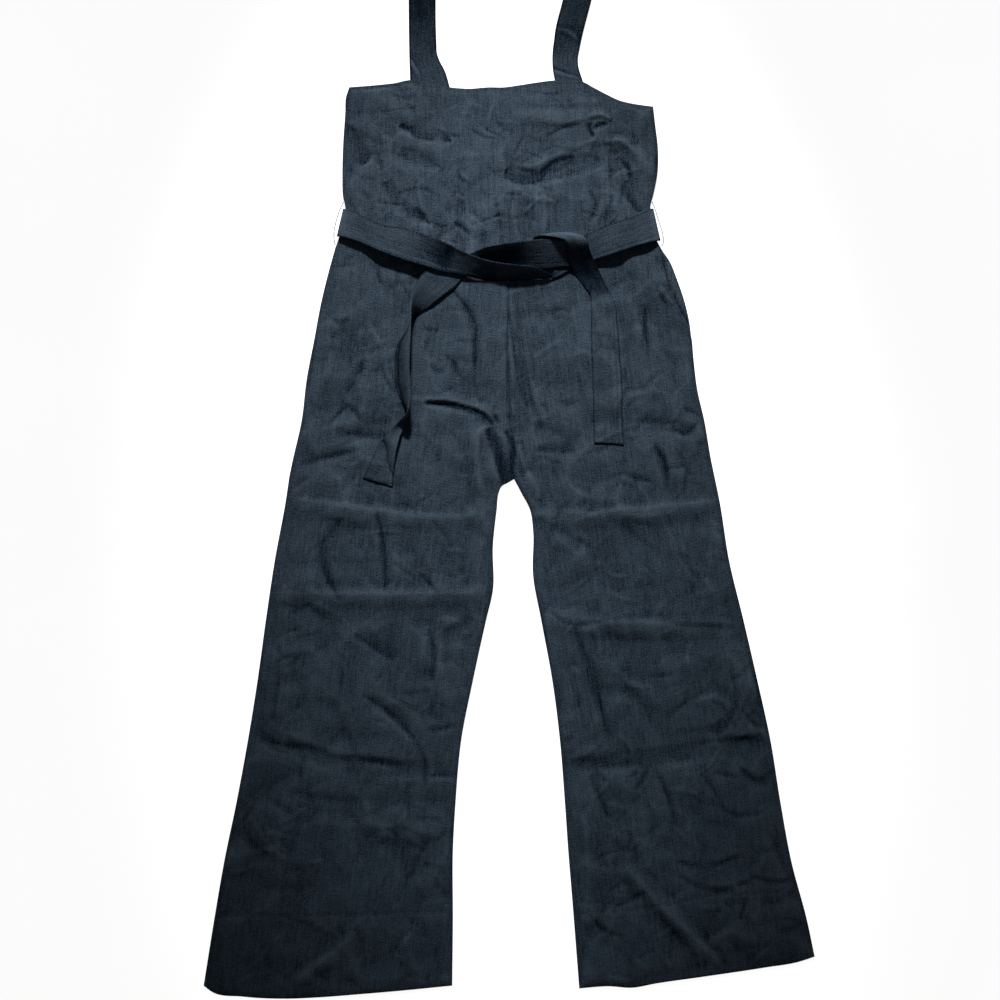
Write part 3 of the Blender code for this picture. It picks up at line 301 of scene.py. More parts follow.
LEFT_LEG_CREASES = metres((
    (93, -75, 131, -63, 203, -56, 7, 18, 1), (196, -56, 246, -52, 301, -46, 7, 18, 0.9),
    (57, -205, 84, -223, 134, -221, 6, 8, -1), (131, -222, 189, -221, 239, -225, 10, 12, 0.9),
    (239, -225, 290, -227, 335, -230, 6, 9, -0.9), (94, -226, 120, -300, 145, -392, 20, 16, -2),
    (93, -282, 105, -327, 113, -370, 8, 8, 0.9), (151, -294, 196, -345, 228, -388, 9, 12, -1),
    (353, -283, 340, -327, 317, -379, 8, 12, 0.9), (160, -287, 196, -298, 239, -294, 8, 12, -0.5),
    (71, -429, 134, -426, 203, -418, 9, 8, -1.4), (199, -419, 246, -403, 297, -392, 10, 9, -2),
    (293, -393, 333, -392, 373, -397, 9, 9, -1.5), (118, -442, 132, -478, 150, -511, 7, 8, -1.1),
    (203, -424, 194, -446, 180, -468, 7, 7, -0.8), (210, -431, 231, -478, 241, -518, 8, 8, -0.8),
    (274, -439, 293, -460, 308, -486, 8, 8, -0.7), (332, -431, 362, -451, 385, -435, 8, 12, -1.3),
    (238, -567, 286, -574, 335, -559, 6, 9, -1), (243, -588, 297, -610, 351, -594, 7, 9, -0.9),
    (346, -587, 380, -596, 414, -594, 4, 8, -0.8), (173, -580, 225, -639, 313, -723, 9, 14, 1.5),
    (151, -632, 176, -622, 199, -609, 8, 10, -1), (115, -643, 139, -668, 168, -677, 6, 9, -0.8),
    (377, -522, 391, -558, 407, -596, 8, 8, -0.7), (196, -478, 210, -515, 203, -543, 8, 10, -0.6),
    (290, -478, 326, -500, 369, -496, 9, 12, -0.7),
))

# Sections along the belt's two halves, from the side seam round the knot to the end of the tail. Each gives
# the section's two edges and how far its middle stands off the straight line between them. A height of zero
# lies on the cloth below. The first rows turn round the garment's side. Columns: edge_x, edge_y, edge_z,
# other_x, other_y, other_z, middle_push_y, middle_lift.
BELT_WRAP_ROWS = 3
BELT_FROM_RIGHT = metres((
    (-240, 376, 2.2, -249, 337.5, 2.2, 0, 0), (-240, 376, 6, -249, 337.5, 6, 0, 0),
    (-237, 375, 11, -245, 336, 11, 0, 0), (-230, 373, 13.5, -236, 333, 13.5, 0, 0),
    (-211, 364, 16, -218, 327, 16, 0, 0), (-185, 351, 19, -190, 314, 20, 0, 0),
    (-150, 345, 21.5, -154, 300, 21.5, 0, 1), (-110, 331, 26.5, -118, 290, 19.5, 0, -4),
    (-88, 321.5, 29, -98, 284, 16, 0, -6), (-70, 312, 30, -78, 281, 14, 0, -3),
    (-44, 301.5, 30, -53, 276.5, 11, 0, -1), (-24, 296, 29.5, -32, 272, 8, 0, -1),
    (12, 291.5, 27.5, 6, 272, 7, 0, 0), (36, 289, 24, 31, 273.5, 7, 0, 0),
    (50, 283.5, 19, 47, 275, 7.5, 0, 0), (60, 281, 12.5, 62, 276, 8.5, 0, 0),
    (64, 290, 9.2, 78, 282, 9, 0, 0), (56, 304, 9.5, 96, 295, 9.5, 0, 0), (41, 320, 11, 92, 317, 10.5, 3, 0),
    (34, 330, 17.5, 89, 336.5, 16.5, 4, 0), (40, 332.5, 27, 95, 336.5, 28, 3, 0),
    (57, 331, 34, 104.5, 331, 37, 2, 1), (80, 324.5, 35.5, 111, 322.5, 38.5, 0, 0),
    (83, 311, 26.5, 114.5, 312, 31.5, 0, 0), (87, 296, 16.5, 120.5, 300, 23, 0, 0),
    (96, 280, 8.5, 128.5, 286, 14.5, 0, 0), (106.5, 265.5, 6, 136.5, 271, 9, 0, 0),
    (116, 252.5, 0, 145, 254.5, 7.5, 0, 0), (117.5, 240, 0, 152, 240, 0, 0, 0),
    (118, 212, 0, 156, 209, 0, 0, 0), (118, 173, 0, 159, 173, 0, 0, 0), (120, 129, 0, 162, 129, 0, 0, 0),
    (121, 79, 0, 163, 79, 0, 0, 0), (122, 38, 0, 165, 35, 0, 0, 0),
))
BELT_FROM_LEFT = metres((
    (207, 376.5, 2.2, 217.5, 331.5, 2.2, 0, 0), (207, 376.5, 6, 217.5, 331.5, 6, 0, 0),
    (204, 375, 11, 214, 329.5, 12, 0, 0), (196, 371, 15, 203, 326, 17, 0, 0),
    (177, 362, 19, 174, 317, 19, 0, 1), (150, 353, 22, 141, 306, 19, 0, 1),
    (127, 344, 20, 118, 299, 16, 0, 0), (101, 334, 15.5, 98.5, 292, 13, 0, 0),
    (72, 327.5, 27.5, 75, 291, 12.5, 0, 0), (51, 327.5, 32, 54, 288.5, 11.3, 0, 0),
    (31, 326, 33, 30, 288.5, 9.5, 0, -1), (-2, 322, 32.5, -5, 288, 8, 0, -3),
    (-35, 316.5, 28, -36, 287, 8, 0, -3), (-63, 307, 16.5, -56, 285, 8, 0, 0),
    (-87, 303, 12, -68, 275, 8.5, 0, 0), (-106, 297, 12, -79, 263, 9, 0, 0),
    (-119, 287, 14.5, -95, 251, 9.5, 0, 0), (-131, 272, 21.5, -112, 237, 8.5, 0, 0),
    (-139, 251, 32, -128, 226, 6, 0, 0), (-141, 230, 38, -139, 217, 0, 0, 0),
    (-141, 204, 40, -149, 200, 0, 0, 0), (-142, 176, 40, -163, 177, 0, 0, 0),
    (-143, 147, 38, -166, 151, 0, 0, 0), (-142, 119, 37, -164, 122, 0, 0, 0),
    (-142, 98, 37, -156, 97, 0, 0, 0), (-146.5, 80, 31, -147, 77, 0, 0, 0),
    (-158, 69, 18, -152.5, 62, 7, 0, 0), (-170, 57, 11, -157.5, 48, 13, 0, 0),
    (-181, 46, 8, -160.5, 37, 16, 0, 0), (-189.5, 34, 0, -163.5, 24, 16, 0, 0),
    (-201, 9, 0, -166.5, -1, 11, 0, 0), (-212, -13, 0, -169, -26, 3, 0, 0),
))

# Sections along each shoulder strap, from the front neckline over the shoulder fold to the back neckline.
# Columns: outer_x, outer_y, inner_x, inner_y, z.
RIGHT_STRAP = metres((
    (-143, 561.9, -86, 551.2, 2.1), (-143.5, 577, -93, 575, 2.1), (-144, 593, -102, 593, 2.1),
    (-144.5, 611, -107, 611, 2.1), (-145, 650, -107, 650, 2.1), (-146, 710, -107, 710, 2.1),
    (-146, 756, -107, 756, 3), (-146, 764, -107, 764, 3), (-146, 767.2, -107, 767.2, 1.8),
    (-146, 764, -107, 764, 0.6), (-146, 756, -107, 756, 0.6), (-146, 650, -107, 650, 0.6),
    (-145, 590, -105, 590, 0.6), (-144, 561.8, -104, 555.2, 0.6),
))
LEFT_STRAP = metres((
    (66, 561.8, 107, 559.4, 2.1), (63, 577, 101, 577, 2.1), (62, 593, 99, 593, 2.1), (63, 611, 102, 611, 2.1),
    (67, 634, 107, 634, 2.1), (72, 657, 113, 657, 2.1), (79, 690, 121, 690, 2.1), (83, 756, 124, 756, 3),
    (83, 764, 124, 764, 3), (83, 767.2, 124, 767.2, 1.8), (83, 764, 124, 764, 0.6), (83, 756, 124, 756, 0.6),
    (79, 690, 120, 690, 0.6), (66, 634, 105, 634, 0.6), (63, 593, 98, 593, 0.6), (66, 561.8, 107, 559.6, 0.6),
))

# Thread loops that hold the belt at the side seams: x, y, z.
RIGHT_LOOP = metres((
    (-240.4, 387, 3), (-246, 374, 4.5), (-251, 357, 6), (-254, 342, 5.5), (-253.7, 331, 4), (-252, 324, 3),
))
LEFT_LOOP = metres((
    (206.6, 387, 3), (210.5, 376, 5), (216, 357, 6.5), (221.5, 340, 6), (222.5, 330, 4.5), (220.4, 321, 3),
))

# Grooves along the seams that show, in the same columns as the creases.
SEAM_GROOVES = metres(((-1, 300, -3, 173, 6, -11, 4, 4, -0.9),))
# Lines of stitches along the hems: x, y.
HEM_STITCHES = tuple(np.array(metres(line)) for line in (
    ((-424, -645), (-330, -646), (-240, -645), (-160, -643), (-84, -640)),
    ((94, -643), (160, -640), (232, -629), (304, -614), (360, -613), (391, -611), (409, -598)),
))
HEM_MARGIN = 0.02  # how far the hem's step runs on past the ends of its stitches
HEM_RISE, HEM_GROOVE, HEM_STEP = 0.0004, 0.0004, 0.002
HEM_LINE_STEPS = 200
SLOPE_STEP = 0.001  # a slope is measured this far to either side

# How creases and crumple are formed.
CREASE_ROUND = 0.0011  # radius of a crease's line
NARROW_END = 0.4  # a crease's width at its ends, as a share of its width in the middle
CREASE_RIM = 0.010  # creases reach this close to a closed edge at full depth
LEAST_LOFT, SOFT_LANDING = 0.0008, 0.0008  # the front keeps this far off the back, and nears it this softly
BACK_RELIEF = 0.35  # depth of the back's creases as a share of the front's
MAIN_DEPTH, MAIN_SPREAD = 1.7, 1.35  # what the heights and the widths of crease rows are multiplied by
NOISE_CELLS = 64
DEEPEST_BOWL = 0.35  # how unlike in depth neighbouring bowls are, from which facets are made
CRUMPLE_BEND, BEND_SIZE, BEND_SEEDS = 0.007, 0.06, (11, 12)  # how the facets' lines wander
# Facets lie in patches. Columns: height, size, seed, share left between patches, patch size, patch seed.
FACETS = ((0.0046, 0.056, 21, 0.4, 0.15, 13), (0.0012, 0.024, 25, 0.0, 0.12, 14))
PATCH_CONTRAST = 0.9
WAVES = ((0.0016, 0.13, 31), (0.0010, 0.042, 32))  # height, size, seed
SMALL_CREASES = 900
SMALL_CREASE_SEED = 5
LEVEL_CREASES = 0.55  # share of the small creases that run about level
LEVEL_LEAN = 0.55  # how far those lean either way, in radians
RISING_CREASES = 0.4  # share of all of them that are ridges
SMALL_CREASE_BEND = 0.10
SMALL_CREASE_LENGTH = (0.012, 0.055)
SMALL_CREASE_WIDTH = (0.003, 0.008)
SMALL_CREASE_HEIGHT = (0.0002, 0.0010)

# Belt and straps.
BAND_WAVES, BAND_WAVE_SIZE = 0.0006, 0.03
BAND_BOWLS, BAND_BOWL_SIZE = 0.0006, 0.018
BAND_FADE_STEPS = 12.0  # a band's relief grows from nothing over its first steps
BELT_GROOVES = ((0.84, 1.2, -0.35), (0.5, 2.5, 0.15))  # share of its width, half_width and height in mm
BELT_SEEDS, STRAP_SEEDS = (41, 51), (61, 71)
RIGHT_STRAP_CREASES = metres(((0, 40, 7, 26, 14, 10, 3, 5, -2),))
LEFT_STRAP_CREASES = metres((
    (0, 22, 18, 15, 36, 10, 5, 3, 1.3), (0, 16, 18, 10, 38, 4, 4, 4, -1.5),
    (0, 78, 14, 76, 36, 62, 6, 5, -1.5),
))
# Painted light and shade along a band, paler or darker by share of its length: share, shade.
RIGHT_STRAP_PAINTED_SHADES = ((0.0, 0.0), (0.09, -0.4), (0.19, -0.8), (0.28, -1.2))
LEFT_STRAP_PAINTED_SHADES = ((0.0, 0.2), (0.09, -0.2), (0.145, -0.8), (0.19, -0.9), (0.225, -0.3), (0.28, -0.3))
BELT_PAINTED_SHADES = {
    "belt_from_right": (
        (0.0, -0.1), (0.17, -0.1), (0.22, -0.5), (0.44, -0.8), (0.585, 0.0), (0.610, -1.5), (0.700, -1.5),
        (0.718, -0.2), (0.73, 0.1), (1.0, 0.1),
    ),
    "belt_from_left": (
        (0.0, -0.2), (0.17, -0.2), (0.21, -0.5), (0.29, -0.5), (0.34, -1.2), (0.43, -1.2), (0.47, 0.0),
        (1.0, 0.0),
    ),
}
BAND_EDGE, BAND_END = 0.06, 2.0  # how far in from its edges a band is painted in shade: share of its width, and steps

# Wear and painted shade: ridges are rubbed paler, and hollows are painted darker as shade.
SHARPEST_BEND = 170.0  # a curvature, in 1/m, at which a crease counts as fully ridged or hollow
DEEPEST_HOLLOW, HOLLOW_REACH = 0.0024, 0.016  # a depth below the cloth around that gets full painted shade, and its reach
DARKEST = -1.7  # how far the two together darken, as painted shade
MOUTH_SHADOW_REACH = 0.0075  # how far inside its mouth the pocket's cloth is painted in shadow
DEEPEST_TROUGH = 0.0038  # a main crease of this depth gets as much painted shade again

# Linen. Real threads are about 0.5 mm apart, too fine to show from the camera, so their grain is drawn at
# three times that. Columns: width, length, detail, weight in the shade, weight in the height, and whether it
# is a slub. From the top: warp slubs, weft slubs, long warp slubs, the threads' grain, patches of dye.
THREAD_MAP, WEAR_AND_SHADE_LAYER = "threads", "wear_and_shade"
STREAKS = (
    (0.0018, 0.020, 2.0, 0.24, 0.5, True),
    (0.014, 0.0018, 2.0, 0.16, 0.3, True),
    (0.0040, 0.10, 1.0, 0.12, 0.0, True),
    (0.0015, 0.0024, 1.0, 0.40, 0.5, False),
    (0.09, 0.09, 3.0, 0.14, 0.0, False),
)
STREAK_BOUNDS = (0.3, 0.7)  # the noise where streaks are darkest, and where they are palest
THREAD_BUMP, THREAD_RISE = 0.5, 0.0006
WEAR_AND_SHADE_WEIGHT = 0.58  # weight of the wear and painted shade beside the weave's shade
PALEST_GLOSS, PALEST_SHEEN = 0.5, 0.16  # on the palest ridges; gloss and sheen fade to none in the darkest painted shade
FLAX_IOR = 1.53
SPECK_SIZE, SPECK_BOUNDS = 0.002, (0.45, 0.6)  # the noise where a speck begins, and where it is full
THREAD_DARK = linear("2A323A")
THREAD_TWIST = 900.0  # turns of the thread's two shades to a metre
# A slot's material, how pale it is as a share of the garment's linen, and its other settings.
MATERIALS = {
    "linen": ("washed navy linen", 1.0, {}),  # dull, with slubs and rubbed ridges
    "belt_linen": ("doubled navy linen", 0.95, {"slub_contrast": 0.6}),  # pressed, so its slubs show less
    "pocket_linen": ("brushed navy linen", 1.0, {"specks": linear("56616C")}),  # pale fibre ends stand out
    "thread": ("navy spun polyester thread", 1.0, {}),  # smoother and a little glossy
}
RIGHT_LEG_LEAN, LEFT_LEG_LEAN = -0.12, 0.15  # how far the warp leans on each leg, in radians

# Stitches and thread loops.
STITCH_SHARE = 0.72  # a stitch's length as a share of the pitch
BELT_STITCH_SHARE, BELT_END_STEPS = 0.84, 4  # where the stitches run along the belt and across its end
STITCH_SIDES, STITCH_RINGS = 6, 4
STITCH_RISE = 0.4  # how far a stitch stands off the cloth, as a share of its radius
CHAIN_STEPS, CHAIN_TURNS, CHAIN_STRAND = 120, 14, 0.00034

# Studio.
FLOOR_HALF, FLOOR_DROP = 4.0, 0.0005
FLOOR_GLOW, FLOOR_MOTTLE = 1.05, 0.97  # the board's own light, and its darkest mottle as a share
KEY_PLACE, KEY_TARGET = (-0.12, 2.1, 1.38), (-0.01, 0.06, 0.0)
KEY_RADIUS, KEY_CONE = 0.10, math.radians(26)
KEY_COLOUR, FILL_COLOUR = (1.0, 0.99, 0.97), (0.95, 0.97, 1.0)
CAMERA_OVER = (-0.0138, -0.0447)


def smooth_step(value):
    part = np.clip(value, 0.0, 1.0)
    return part * part * (3.0 - 2.0 * part)


def curve_at(rows, places):
    """A smooth curve through the rows, read at places given in row numbers."""
    rows = np.asarray(rows, dtype=float)
    lengths = np.linalg.norm(np.diff(rows[:, :PLACE_COLUMNS], axis=0), axis=1)
    knots = np.concatenate(([0.0], np.cumsum(np.maximum(lengths, 1e-6))))
    steps = np.diff(knots)[:, None]
    slopes = np.diff(rows, axis=0) / steps
    tangents = np.empty_like(rows)
    tangents[0], tangents[-1] = slopes[0], slopes[-1]
    tangents[1:-1] = (slopes[:-1] * steps[1:] + slopes[1:] * steps[:-1]) / (steps[:-1] + steps[1:])
    first = np.clip(places.astype(int), 0, len(rows) - 2)
    part = (places - first)[:, None]
    span = steps[first]
    return (
        rows[first] * (2 * part**3 - 3 * part**2 + 1)
        + rows[first + 1] * (3 * part**2 - 2 * part**3)
        + tangents[first] * span * (part**3 - 2 * part**2 + part)
        + tangents[first + 1] * span * (part**3 - part**2)
    )


def even(count):
    return np.linspace(0.0, 1.0, count + 1)


def unit(vectors):
    return vectors / np.maximum(np.linalg.norm(vectors, axis=-1, keepdims=True), 1e-9)


def lengths_along(points):
    """How far along a line each of its points lies."""
    return np.concatenate(([0.0], np.cumsum(np.linalg.norm(np.diff(points, axis=0), axis=1))))


def edge(rows, shares, stretch=None, measured=slice(None)):
    """Points of the curve through the rows, at shares of its length. A stretch is a first and last row."""
    first, last = stretch or (0.0, len(rows) - 1.0)
    places = np.linspace(first, last, CURVE_STEPS)
    lengths = lengths_along(curve_at(rows, places)[:, measured])
    return curve_at(rows, np.interp(np.asarray(shares) * lengths[-1], lengths, places))


def joined(upper, upper_shares, lower, lower_shares):
    """An edge in two stretches that meet at the crotch's height."""
    return np.vstack((edge(upper, upper_shares)[:-1], edge(lower, lower_shares)))


def panel(left, right, top, bottom):
    """Points of a panel between its four edges, in rows from the top down.

    A corner takes its side's x and its end's y.
    """
    left, right, top, bottom = (np.array(line, dtype=float) for line in (left, right, top, bottom))
    for side, column in ((left, 0), (right, -1)):
        for end, row in ((top, 0), (bottom, -1)):
            side[row, 1] = end[column, 1]
            end[column, 0] = side[row, 0]
    down = even(len(left) - 1)[:, None, None]
    across = even(len(top) - 1)[None, :, None]
    between_sides = left[:, None] * (1 - across) + right[:, None] * across
    between_ends = top[None] * (1 - down) + bottom[None] * down
    corners = (
        (top[0] * (1 - across) + top[-1] * across) * (1 - down)
        + (bottom[0] * (1 - across) + bottom[-1] * across) * down
    )
    return between_sides + between_ends - corners


def distance_to(line, x, y):
    """Distance of each point from a line of straight pieces, and the share along it of the nearest point."""
    line = np.asarray(line, dtype=float)
    nearest = np.full(x.shape, np.inf)
    place = np.zeros(x.shape)
    for index, (start, end) in enumerate(zip(line[:-1], line[1:])):
        run = end - start
        part = np.clip(((x - start[0]) * run[0] + (y - start[1]) * run[1]) / (run @ run), 0.0, 1.0)
        gap = np.hypot(x - start[0] - part * run[0], y - start[1] - part * run[1])
        closer = gap < nearest
        nearest[closer] = gap[closer]
        place[closer] = (index + part[closer]) / (len(line) - 1)
    return nearest, place


def bent_line(row):
    """The line of a fold or crease, from its start past its middle to its end."""
    return edge(np.reshape(row[:6], (3, 2)), even(FOLD_STEPS))


def taper(place):
    """How far a fold rises at a share of its length: not at all at its ends, and fully in its middle."""
    return np.sqrt(np.clip(4.0 * place * (1.0 - place), 0.0, 1.0))


def fold_height(fold, x, y):
    """A fold's height at each point, rounded across and tapering to its ends."""
    half_width, height = fold[6:]
    gap, place = distance_to(bent_line(fold), x, y)
    return height * np.clip(1.0 - (gap / half_width) ** 2, 0.0, 1.0) ** 2 * taper(place)


def gather_folds():
    """The gathers as folds: each runs from above the waist seam to below it."""
    seam = np.asarray(FRONT_WAIST)
    folds = []
    for x, up, down, lean, half_width, height in GATHERS:
        seam_y = float(np.interp(x, seam[:, 0], seam[:, 1]))
        foot = x + lean * down / up
        folds.append((x - lean, seam_y + up, x, seam_y, foot, seam_y - down, half_width, height))
    return folds


ALL_FOLDS = BODICE_FOLDS + HIP_FOLDS + RIGHT_LEG_FOLDS + LEFT_LEG_FOLDS + tuple(gather_folds())
MOUTH_ROWS = slice(9, None)  # of the left hip's edge, from the foot of the pocket's mouth down
CLOSED_EDGES = (
    NECKLINE, RIGHT_BODICE_SIDE, LEFT_BODICE_SIDE, RIGHT_HIP, RIGHT_SIDE_BELOW, RIGHT_INNER_LEG, RIGHT_HEM,
    LEFT_HIP_FRONT[MOUTH_ROWS], LEFT_SIDE_BELOW, LEFT_INNER_LEG, LEFT_HEM,
)


def over_belt(y, margin, ramp=BELT_RAMP):
    """How far cloth rises over the belt behind it."""
    rising = smooth_step((y - (BELT_LOW - margin - ramp)) / ramp)
    falling = smooth_step(((BELT_HIGH + margin + ramp) - y) / ramp)
    return BELT_RISE * rising * falling


def pocket_top(x, y):
    return CLOTH + over_belt(y, FRONT_MARGIN) + SEAM_GAP + POCKET_CLOTH


def belt_top(x, y):
    return np.full(x.shape, BELT_CLOTH)


def signed_distance(line, x, y):
    """Distance of each point from a line, the share along it, and whether it lies to the line's left."""
    gap, place = distance_to(line, x, y)
    line = np.asarray(line)
    piece = np.clip((place * (len(line) - 1)).astype(int), 0, len(line) - 2)
    run = (line[1:] - line[:-1])[piece]
    start = line[piece]
    left = run[..., 0] * (y - start[..., 1]) - run[..., 1] * (x - start[..., 0]) > 0
    return gap, place, left


def crease_height(crease, x, y):
    """A crease's height at each point: a sharp line with a slope of its own width on either side."""
    left_width, right_width, height = crease[6:]
    reach = MAIN_SPREAD * max(left_width, right_width)
    near_x, near_y = (
        (place > min(ends) - reach) & (place < max(ends) + reach)
        for place, ends in ((x, crease[0:6:2]), (y, crease[1:6:2]))
    )
    near = near_x & near_y
    heights = np.zeros(x.shape)
    if near.any():
        gap, place, left = signed_distance(bent_line(crease), x[near], y[near])
        fade = taper(place)
        width = MAIN_SPREAD * np.where(left, left_width, right_width) * (NARROW_END + (1 - NARROW_END) * fade)
        rounded = np.hypot(gap, CREASE_ROUND) - CREASE_ROUND
        heights[near] = height * fade * np.clip(1.0 - rounded / width, 0.0, 1.0) ** 2
    return heights


def cells(x, y, size):
    """Where each point lies on a grid of cells of a size, and the column and row of its cell."""
    across, down = x / size + NOISE_CELLS / 2, y / size + NOISE_CELLS / 2
    return across, down, np.floor(across).astype(int), np.floor(down).astype(int)


def gentle_noise(x, y, size, seed):
    """Smooth rises and hollows about a size apart, between about -1 and 1."""
    slopes = np.random.default_rng(seed).normal(size=(NOISE_CELLS, NOISE_CELLS, 2))
    across, down, column, row = cells(x, y, size)
    part_x, part_y = across - column, down - row
    fade_x, fade_y = (part**3 * (part * (part * 6 - 15) + 10) for part in (part_x, part_y))

    def corner(right, up):
        slope = slopes[(row + up) % NOISE_CELLS, (column + right) % NOISE_CELLS]
        return slope[..., 0] * (part_x - right) + slope[..., 1] * (part_y - up)

    lower, upper = (corner(0, up) * (1 - fade_x) + corner(1, up) * fade_x for up in (0, 1))
    return lower * (1 - fade_y) + upper * fade_y


def bowls(x, y, size, seed):
    """Shallow bowls of about a size across that meet in sharp ridges."""
    chance = np.random.default_rng(seed)
    shift = chance.uniform(-0.5, 0.5, size=(NOISE_CELLS, NOISE_CELLS, 2))
    depth = chance.uniform(0.0, DEEPEST_BOWL, size=(NOISE_CELLS, NOISE_CELLS))
    across, down, column, row = cells(x, y, size)
    lowest = np.full(x.shape, np.inf)
    for step_x in (-1, 0, 1):
        for step_y in (-1, 0, 1):
            cell = ((row + step_y) % NOISE_CELLS, (column + step_x) % NOISE_CELLS)
            gap_x = column + step_x + 0.5 + shift[cell][..., 0] - across
            gap_y = row + step_y + 0.5 + shift[cell][..., 1] - down
            lowest = np.minimum(lowest, gap_x**2 + gap_y**2 - depth[cell])
    return lowest


def facets(x, y, size, seed):
    """Flat facets that meet in sharp ridges and valleys, as crumpled cloth does: the bowls' curves cancel."""
    return bowls(x, y, size, seed) - bowls(x, y, size, seed + 1)


def chance_creases():
    """Rows for the many small creases, drawn by lot all over the garment."""
    chance = np.random.default_rng(SMALL_CREASE_SEED)
    lowest, highest = CAD_BOX
    rows = []
    for _ in range(SMALL_CREASES):
        middle = chance.uniform((lowest[0], lowest[1]), (highest[0], NECKLINE[0][1]))
        level = chance.random() < LEVEL_CREASES
        angle = chance.normal(0.0, LEVEL_LEAN) if level else chance.uniform(0, math.pi)
        half = chance.uniform(*SMALL_CREASE_LENGTH) / 2
        run = half * np.array((math.cos(angle), math.sin(angle)))
        bend = chance.normal(0.0, SMALL_CREASE_BEND) * np.array((-run[1], run[0]))
        widths = chance.uniform(*SMALL_CREASE_WIDTH, size=2)
        height = chance.uniform(*SMALL_CREASE_HEIGHT) * (1 if chance.random() < RISING_CREASES else -1)
        rows.append((*(middle - run), *(middle + bend), *(middle + run), *widths, height))
    return rows


ALL_CREASES = BODICE_CREASES + HIP_CREASES + RIGHT_LEG_CREASES + LEFT_LEG_CREASES + SEAM_GROOVES
SMALL = chance_creases()


def crumple(x, y):
    """The linen's crumple: the small creases, patches of facets, and slow waves."""
    bend_x, bend_y = (
        place + CRUMPLE_BEND * gentle_noise(x, y, BEND_SIZE, seed) for place, seed in zip((x, y), BEND_SEEDS)
    )
    relief = sum(crease_height(row, x, y) for row in SMALL)
    for height, size, seed, least, patch_size, patch_seed in FACETS:
        patches = smooth_step(0.5 + PATCH_CONTRAST * gentle_noise(x, y, patch_size, patch_seed))
        relief += height * (least + (1 - least) * patches) * facets(bend_x, bend_y, size, seed)
    return relief + sum(height * gentle_noise(x, y, size, seed) for height, size, seed in WAVES)


def hem_rise(x, y):
    """The hem is folded inside, so the cloth below its stitches stands a little prouder."""
    rise = np.zeros(x.shape)
    for line in HEM_STITCHES:
        over = (x > line[0, 0] - HEM_MARGIN) & (x < line[-1, 0] + HEM_MARGIN)
        below = (np.interp(x, line[:, 0], line[:, 1]) - y) / HEM_STEP
        rise += over * (HEM_RISE * smooth_step(below) - HEM_GROOVE * np.exp(-(below**2)))
    return rise


def from_closed_edge(x, y):
    """Distance of each point from the nearest edge where the front comes down to the back."""
    return np.min([distance_to(line, x, y)[0] for line in CLOSED_EDGES], axis=0)


def front_height(x, y):
    """Height of the front's outer face: lofted and folded between the closed edges, and creased all over."""
    closed = from_closed_edge(x, y)
    rim = np.sin(np.clip(closed / RIM, 0.0, 1.0) * math.pi / 2)
    near_rim = smooth_step(closed / CREASE_RIM)
    folds = sum(fold_height(fold, x, y) for fold in ALL_FOLDS)
    beside_pocket = smooth_step((x - POCKET_INNER) / POCKET_RAMP + 1.0)
    above_pocket = smooth_step((y - POCKET_LOW) / POCKET_RAMP + 1.0)
    over_pocket = (POCKET_CLOTH + SEAM_GAP) * beside_pocket * above_pocket
    from_mouth = np.hypot(x - MOUTH_MIDDLE[0], y - MOUTH_MIDDLE[1])
    gape = MOUTH_LIFT * np.clip(1.0 - (from_mouth / MOUTH_REACH) ** 2, 0.0, 1.0) ** 2
    creases = MAIN_DEPTH * sum(crease_height(row, x, y) for row in ALL_CREASES) + hem_rise(x, y)
    depth = bpy.context.scene.jumpsuit_cloth.crease_depth
    relief = rim * (LOFT + folds) + near_rim * depth * (creases + crumple(x, y))
    above = relief - near_rim * LEAST_LOFT
    settled = near_rim * LEAST_LOFT + (above + np.hypot(above, near_rim * SOFT_LANDING)) / 2
    back = CLOTH + over_belt(y, FRONT_MARGIN, FRONT_RAMP) + SEAM_GAP
    return back + CLOTH + settled + rim * over_pocket + gape


def back_height(x, y):
    """Height of the back's inner face, which lies on the floor with flatter creases of its own."""
    creases = sum(crease_height(row, -x, y) for row in ALL_CREASES) + crumple(-x, y)
    lift = np.clip(LEAST_LOFT / 2 + BACK_RELIEF * creases, 0.0, LEAST_LOFT)
    return CLOTH + over_belt(y, 0.0) + smooth_step(from_closed_edge(x, y) / RIM) * lift


def averaged(values, reach, axis):
    """A running mean over a reach of grid steps to either side."""
    span = 2 * reach + 1
    padded = np.pad(values, [(reach + 1, reach) if each == axis else (0, 0) for each in (0, 1)], mode="edge")
    total = np.cumsum(padded, axis=axis)
    count = values.shape[axis]
    return (np.take(total, range(span, span + count), axis) - np.take(total, range(count), axis)) / span


def painted_trough_shade(x, y):
    """Painted shade in the main creases: how deep each point lies in them, from 0 down."""
    return sum(np.minimum(crease_height(row, x, y), 0.0) for row in ALL_CREASES) / DEEPEST_TROUGH


def painted_mouth_shadow(x, y):
    """Painted shadow on the pocket's cloth just inside its mouth, beside the front's edge."""
    return DARKEST * np.clip(1.0 - distance_to(LEFT_HIP_FRONT, x, y)[0] / MOUTH_SHADOW_REACH, 0.0, 1.0)


def band_edge_shade(points):
    """Painted shade along a band's long edges and its tail's end: from 0 inside to the darkest along them."""
    shares = even(points.shape[1] - 1)
    from_edge = np.minimum(shares, 1.0 - shares)[None, :] / BAND_EDGE
    from_end = (np.arange(len(points))[::-1] / BAND_END)[:, None]
    return DARKEST * np.clip(1.0 - np.minimum(from_edge, from_end), 0.0, 1.0)


